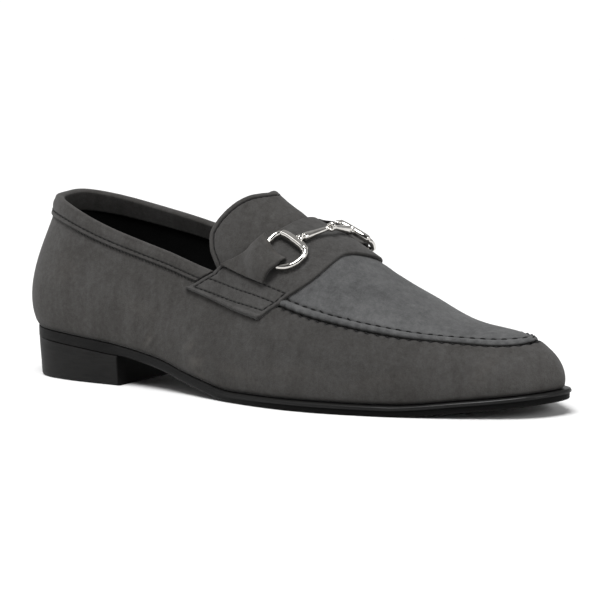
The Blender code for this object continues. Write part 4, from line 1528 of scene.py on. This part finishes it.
# The outsole's edge from below up. Where it has a lip: inset and height of each step, how much
# painted shade it gets, most on the band under the lip and some in the crevice under the upper, and
# how waxed it is. At the waist the same steps lie evenly on a half-round.
LIP_FOOT = SOLE_THICKNESS - LIP_THICKNESS
SOLE_STEPS = (
    (EDGE_BEVEL + LIP_REACH, 0.0, 0.9, 0.0),
    (0.4 * EDGE_BEVEL + LIP_REACH, 0.15 * EDGE_BEVEL, 0.9, 0.0),
    (LIP_REACH, 0.7 * EDGE_BEVEL, 0.9, 0.0),
    (LIP_REACH, 0.35 * LIP_FOOT, 0.9, 0.0),
    (LIP_REACH, 0.7 * LIP_FOOT, 0.9, 0.0),
    (LIP_REACH, LIP_FOOT - 0.0006, 0.9, 0.0),
    (1.2 * LIP_REACH, LIP_FOOT - 0.0003, 1.0, 0.0),
    (0.5 * LIP_REACH, LIP_FOOT, 0.8, 0.0),
    (0.0002, LIP_FOOT + 0.0001, 0.3, 0.15),
    (0.0, LIP_FOOT + 0.0004, 0.0, 0.22),
    (0.0, LIP_FOOT + 0.0009, 0.0, 0.22),
    (0.0001, SOLE_THICKNESS - 0.0008, 0.0, 0.22),
    (0.0004, SOLE_THICKNESS - 0.0003, 0.0, 0.22),
    (0.0010, SOLE_THICKNESS - 0.00005, 0.0, 0.22),
    (0.0018, SOLE_THICKNESS, 0.3, 0.2),
)
# The waist's half-round, how much painted shade its lower, floor-facing half gets and how waxed it
# is, and over the heel, up to this station, the flush edge, its corner and how it blends into the
# waist
SOLE_AROUND = 720
WAIST_ROUND = 0.0016
WAIST_PAINTED_SHADE = 0.95
WAIST_WAX = 0.12
HEEL_FLUSH = 0.0002
HEEL_CORNER = 0.0006
HEEL_ENDS = 0.235
HEEL_BLEND = 0.03


def make_outsole():
    """The outsole: round at the waist, and a lip over an upright band from the ball on."""
    angles = round_angles(SOLE_AROUND)
    along = sole_edge(angles)[:, 0]
    reach = along_sole("lip", along)
    flush = np.clip((HEEL_ENDS - along / SOLE_LENGTH) / HEEL_BLEND, 0, 1)
    rings, shades, waxes = [], [], []
    turns = np.linspace(-0.5, 0.5, len(SOLE_STEPS)) * pi
    for (inset, height, dark, wax), turn in zip(SOLE_STEPS, turns):
        waist = WAIST_ROUND * (1 - cos(turn))
        block = HEEL_FLUSH + HEEL_CORNER * (abs(sin(turn)) > 0.99)
        round_inset = waist * (1 - flush) + block * flush
        round_height = SOLE_THICKNESS * (0.5 + 0.5 * sin(turn))
        plan = sole_edge(angles, inset * reach + round_inset * (1 - reach))
        height = height * reach + round_height * (1 - reach)
        rings.append(np.column_stack([plan, underside(plan[:, 0]) + height]))
        # Painted shade: each step's own share where the lip is, and on the lower, floor-facing half
        # of the waist's round edge
        under = np.clip(WAIST_PAINTED_SHADE * (0.45 - sin(turn)) / 0.8, 0, WAIST_PAINTED_SHADE) * (1 - flush)
        shades.append(dark * reach + under * (1 - reach))
        waxes.append(wax * reach + WAIST_WAX * (1 - reach) * (1 - flush))
    kind = SOLE_BLACK, "sole_black", ("outsole",)
    stacked("outsole_dressed", rings, *kind, shade=np.array(shades), waxed=np.array(waxes))


# The heel block from the floor up: inset, share of the height to the sole, and height over that
HEEL_STEPS = (
    (0.0022, 0.0, 0.0),
    (0.0013, 0.0, 0.0004),
    (0.0009, 0.0, 0.0011),
    (0.0008, 0.0, 0.0030),
    (0.0006, 0.4, 0.0),
    (0.0003, 0.7, 0.0),
    (0.0001, 0.97, 0.0),
    (0.0009, 1.0, 0.0),
)
# How much painted shade the heel's breast gets
BREAST_PAINTED_SHADE = 0.8
HEEL_SIDE_COUNT = 121


def make_heel():
    """The heel block, in one with its top piece."""
    breast = angle_of(np.interp(HEEL_LENGTH, SOLE["along"] * SOLE_LENGTH, SOLE["along"]))
    side = np.linspace(0, breast, HEEL_SIDE_COUNT)
    angles = np.concatenate([side, 2 * pi - side[:0:-1]])
    rings = []
    for inset, share, level in HEEL_STEPS:
        plan = sole_edge(angles, HEEL_INSET + inset)
        under = underside(plan[:, 0]) - CLEARANCE / 2
        rings.append(np.column_stack([plan, under * share + level]))
    # Painted shade on the heel's breast, which faces forward under the arch
    dark = BREAST_PAINTED_SHADE * (np.abs(angles - pi) < pi - breast + 0.001)
    kind = HEEL_BLACK, "sole_black", ("heel",)
    block = stacked("heel_dressed", rings, *kind, shade=np.tile(dark, (len(rings), 1)))
    for face in block.data.polygons:
        face.use_smooth = face.normal.x < 0.9


def dress_insole():
    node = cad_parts["insole"]
    node.data.materials.clear()
    node.data.materials.append(LINING)


# The stage

FLOOR_RADIUS = 60.0
SUN_STRENGTH = 3.7
SUN_SPREAD = 34
SUN_WAY = (-0.10, 0.42, -1.0)
# The sky's strength at the horizon and above, towards the camera's side dark and near it
SKY_TIPPED = 0.30
SKY_HORIZON = 1.05
SKY_ABOVE = 0.40
SKY_DARK = 0.04
SKY_NEAR = 0.16
# Each lamp's place, width and power
LAMPS_AIM = (0, 0, 0.04)
LAMPS = (
    ("key", (-0.9, -1.2, 1.4), 0.5, 1.5),
    ("toe", (1.5, -0.4, 0.8), 0.6, 7.0),
    ("back", (-1.4, 0.2, 0.6), 0.6, 4.0),
)

CAMERA_AZIMUTH = 34.1
CAMERA_ELEVATION = 8.15
CAMERA_ROLL = -1.13
CAMERA_DISTANCE = 1.0
CAMERA_TARGET = (0.150, 0.0, 0.030)
PHOTO_PIXELS = 600
PHOTO_FOCAL = 1733.1
PHOTO_ENLARGED = 1.18
PHOTO_SHIFT = (0.017, 0.048)
SENSOR = 36.0


def camera_back():
    az, el = radians(CAMERA_AZIMUTH), radians(CAMERA_ELEVATION)
    return Vector((sin(az) * cos(el), -cos(az) * cos(el), sin(el)))


def make_sky():
    """A white horizon, a greyer ceiling and a dark side that the bit mirrors."""
    world = bpy.data.worlds.new("studio")
    nodes = Nodes(world)
    way = nodes.node("ShaderNodeTexCoord")["Generated"]
    up = nodes.node("ShaderNodeSeparateXYZ", {0: way})["Z"]
    dark_side = (camera_back() + Vector((0, 0, SKY_TIPPED))).normalized()
    inputs = {0: way, 1: dark_side}
    near = nodes.node("ShaderNodeVectorMath", inputs, operation="DOT_PRODUCT")["Value"]

    def between(*figures):
        """A value that passes evenly from one figure or source to another."""
        return nodes.node("ShaderNodeMapRange", dict(enumerate(figures)))[0]

    ceiling = between(near, 0.35, 0.85, SKY_ABOVE, SKY_DARK)
    rim = between(near, 0.45, 0.80, SKY_HORIZON, SKY_NEAR)
    strength = between(up, 0.17, 0.30, rim, ceiling)
    background = nodes.tree.nodes["Background"]
    background.inputs["Color"].default_value = (1, 1, 1, 1)
    nodes.put(background.inputs["Strength"], strength)
    bpy.context.scene.world = world
    bpy.context.scene.view_settings.view_transform = "Standard"


def aimed(name, kind, place, way):
    """A lamp at a place that shines the given way."""
    lamp = bpy.data.lights.new(name, kind)
    lit = added(name, lamp)
    lit.location = place
    lit.rotation_euler = Vector(way).to_track_quat("-Z", "Y").to_euler()
    return lamp


def make_stage():
    """A wide pale floor under a soft light from above and three large lamps."""
    turn = round_angles(64)
    rim = np.column_stack([np.cos(turn), np.sin(turn), 0 * turn]) * FLOOR_RADIUS
    mesh = bpy.data.meshes.new("floor")
    mesh.from_pydata([tuple(p) for p in rim], [], [tuple(range(len(turn)))])
    mesh.materials.append(floor_finish())
    floor = added("floor", mesh)
    make_sky()
    sun = aimed("overhead", "SUN", (0, 0, 2), SUN_WAY)
    sun.energy = SUN_STRENGTH
    sun.angle = radians(SUN_SPREAD)
    for name, place, width, power in LAMPS:
        lamp = aimed(name, "AREA", place, Vector(LAMPS_AIM) - Vector(place))
        lamp.size = width
        lamp.energy = power


def make_camera():
    """The camera at the photograph's angle to the shoe."""
    back = camera_back()
    lens = bpy.data.cameras.new("camera")
    lens.sensor_width = SENSOR
    lens.lens = PHOTO_FOCAL * PHOTO_ENLARGED / PHOTO_PIXELS * SENSOR
    lens.clip_start = 0.05
    lens.shift_x, lens.shift_y = PHOTO_SHIFT
    camera = added("camera", lens)
    right = Vector((cos(radians(CAMERA_AZIMUTH)), sin(radians(CAMERA_AZIMUTH)), 0))
    up = right.cross(-back)
    roll = radians(CAMERA_ROLL)
    rolled_right = right * cos(roll) + up * sin(roll)
    rolled_up = up * cos(roll) - right * sin(roll)
    turn = Matrix((rolled_right, rolled_up, back)).transposed()
    place = Vector(CAMERA_TARGET) + Vector(SHIFT) + back * CAMERA_DISTANCE
    camera.matrix_world = Matrix.Translation(place) @ turn.to_4x4()
    bpy.context.scene.camera = camera


make_wall()
make_lining()
make_apron_stitches(*make_plug())
make_collar()
make_tongue()
make_strap()
for part, hand in (("lateral", -1), ("medial", 1)):
    make_ring("ring_" + part, hand)
    make_tab("tab_" + part, hand)
    make_mouthpiece("mouthpiece_" + part, hand)
make_link()
make_outsole()
make_heel()
dress_insole()
make_stage()
make_camera()
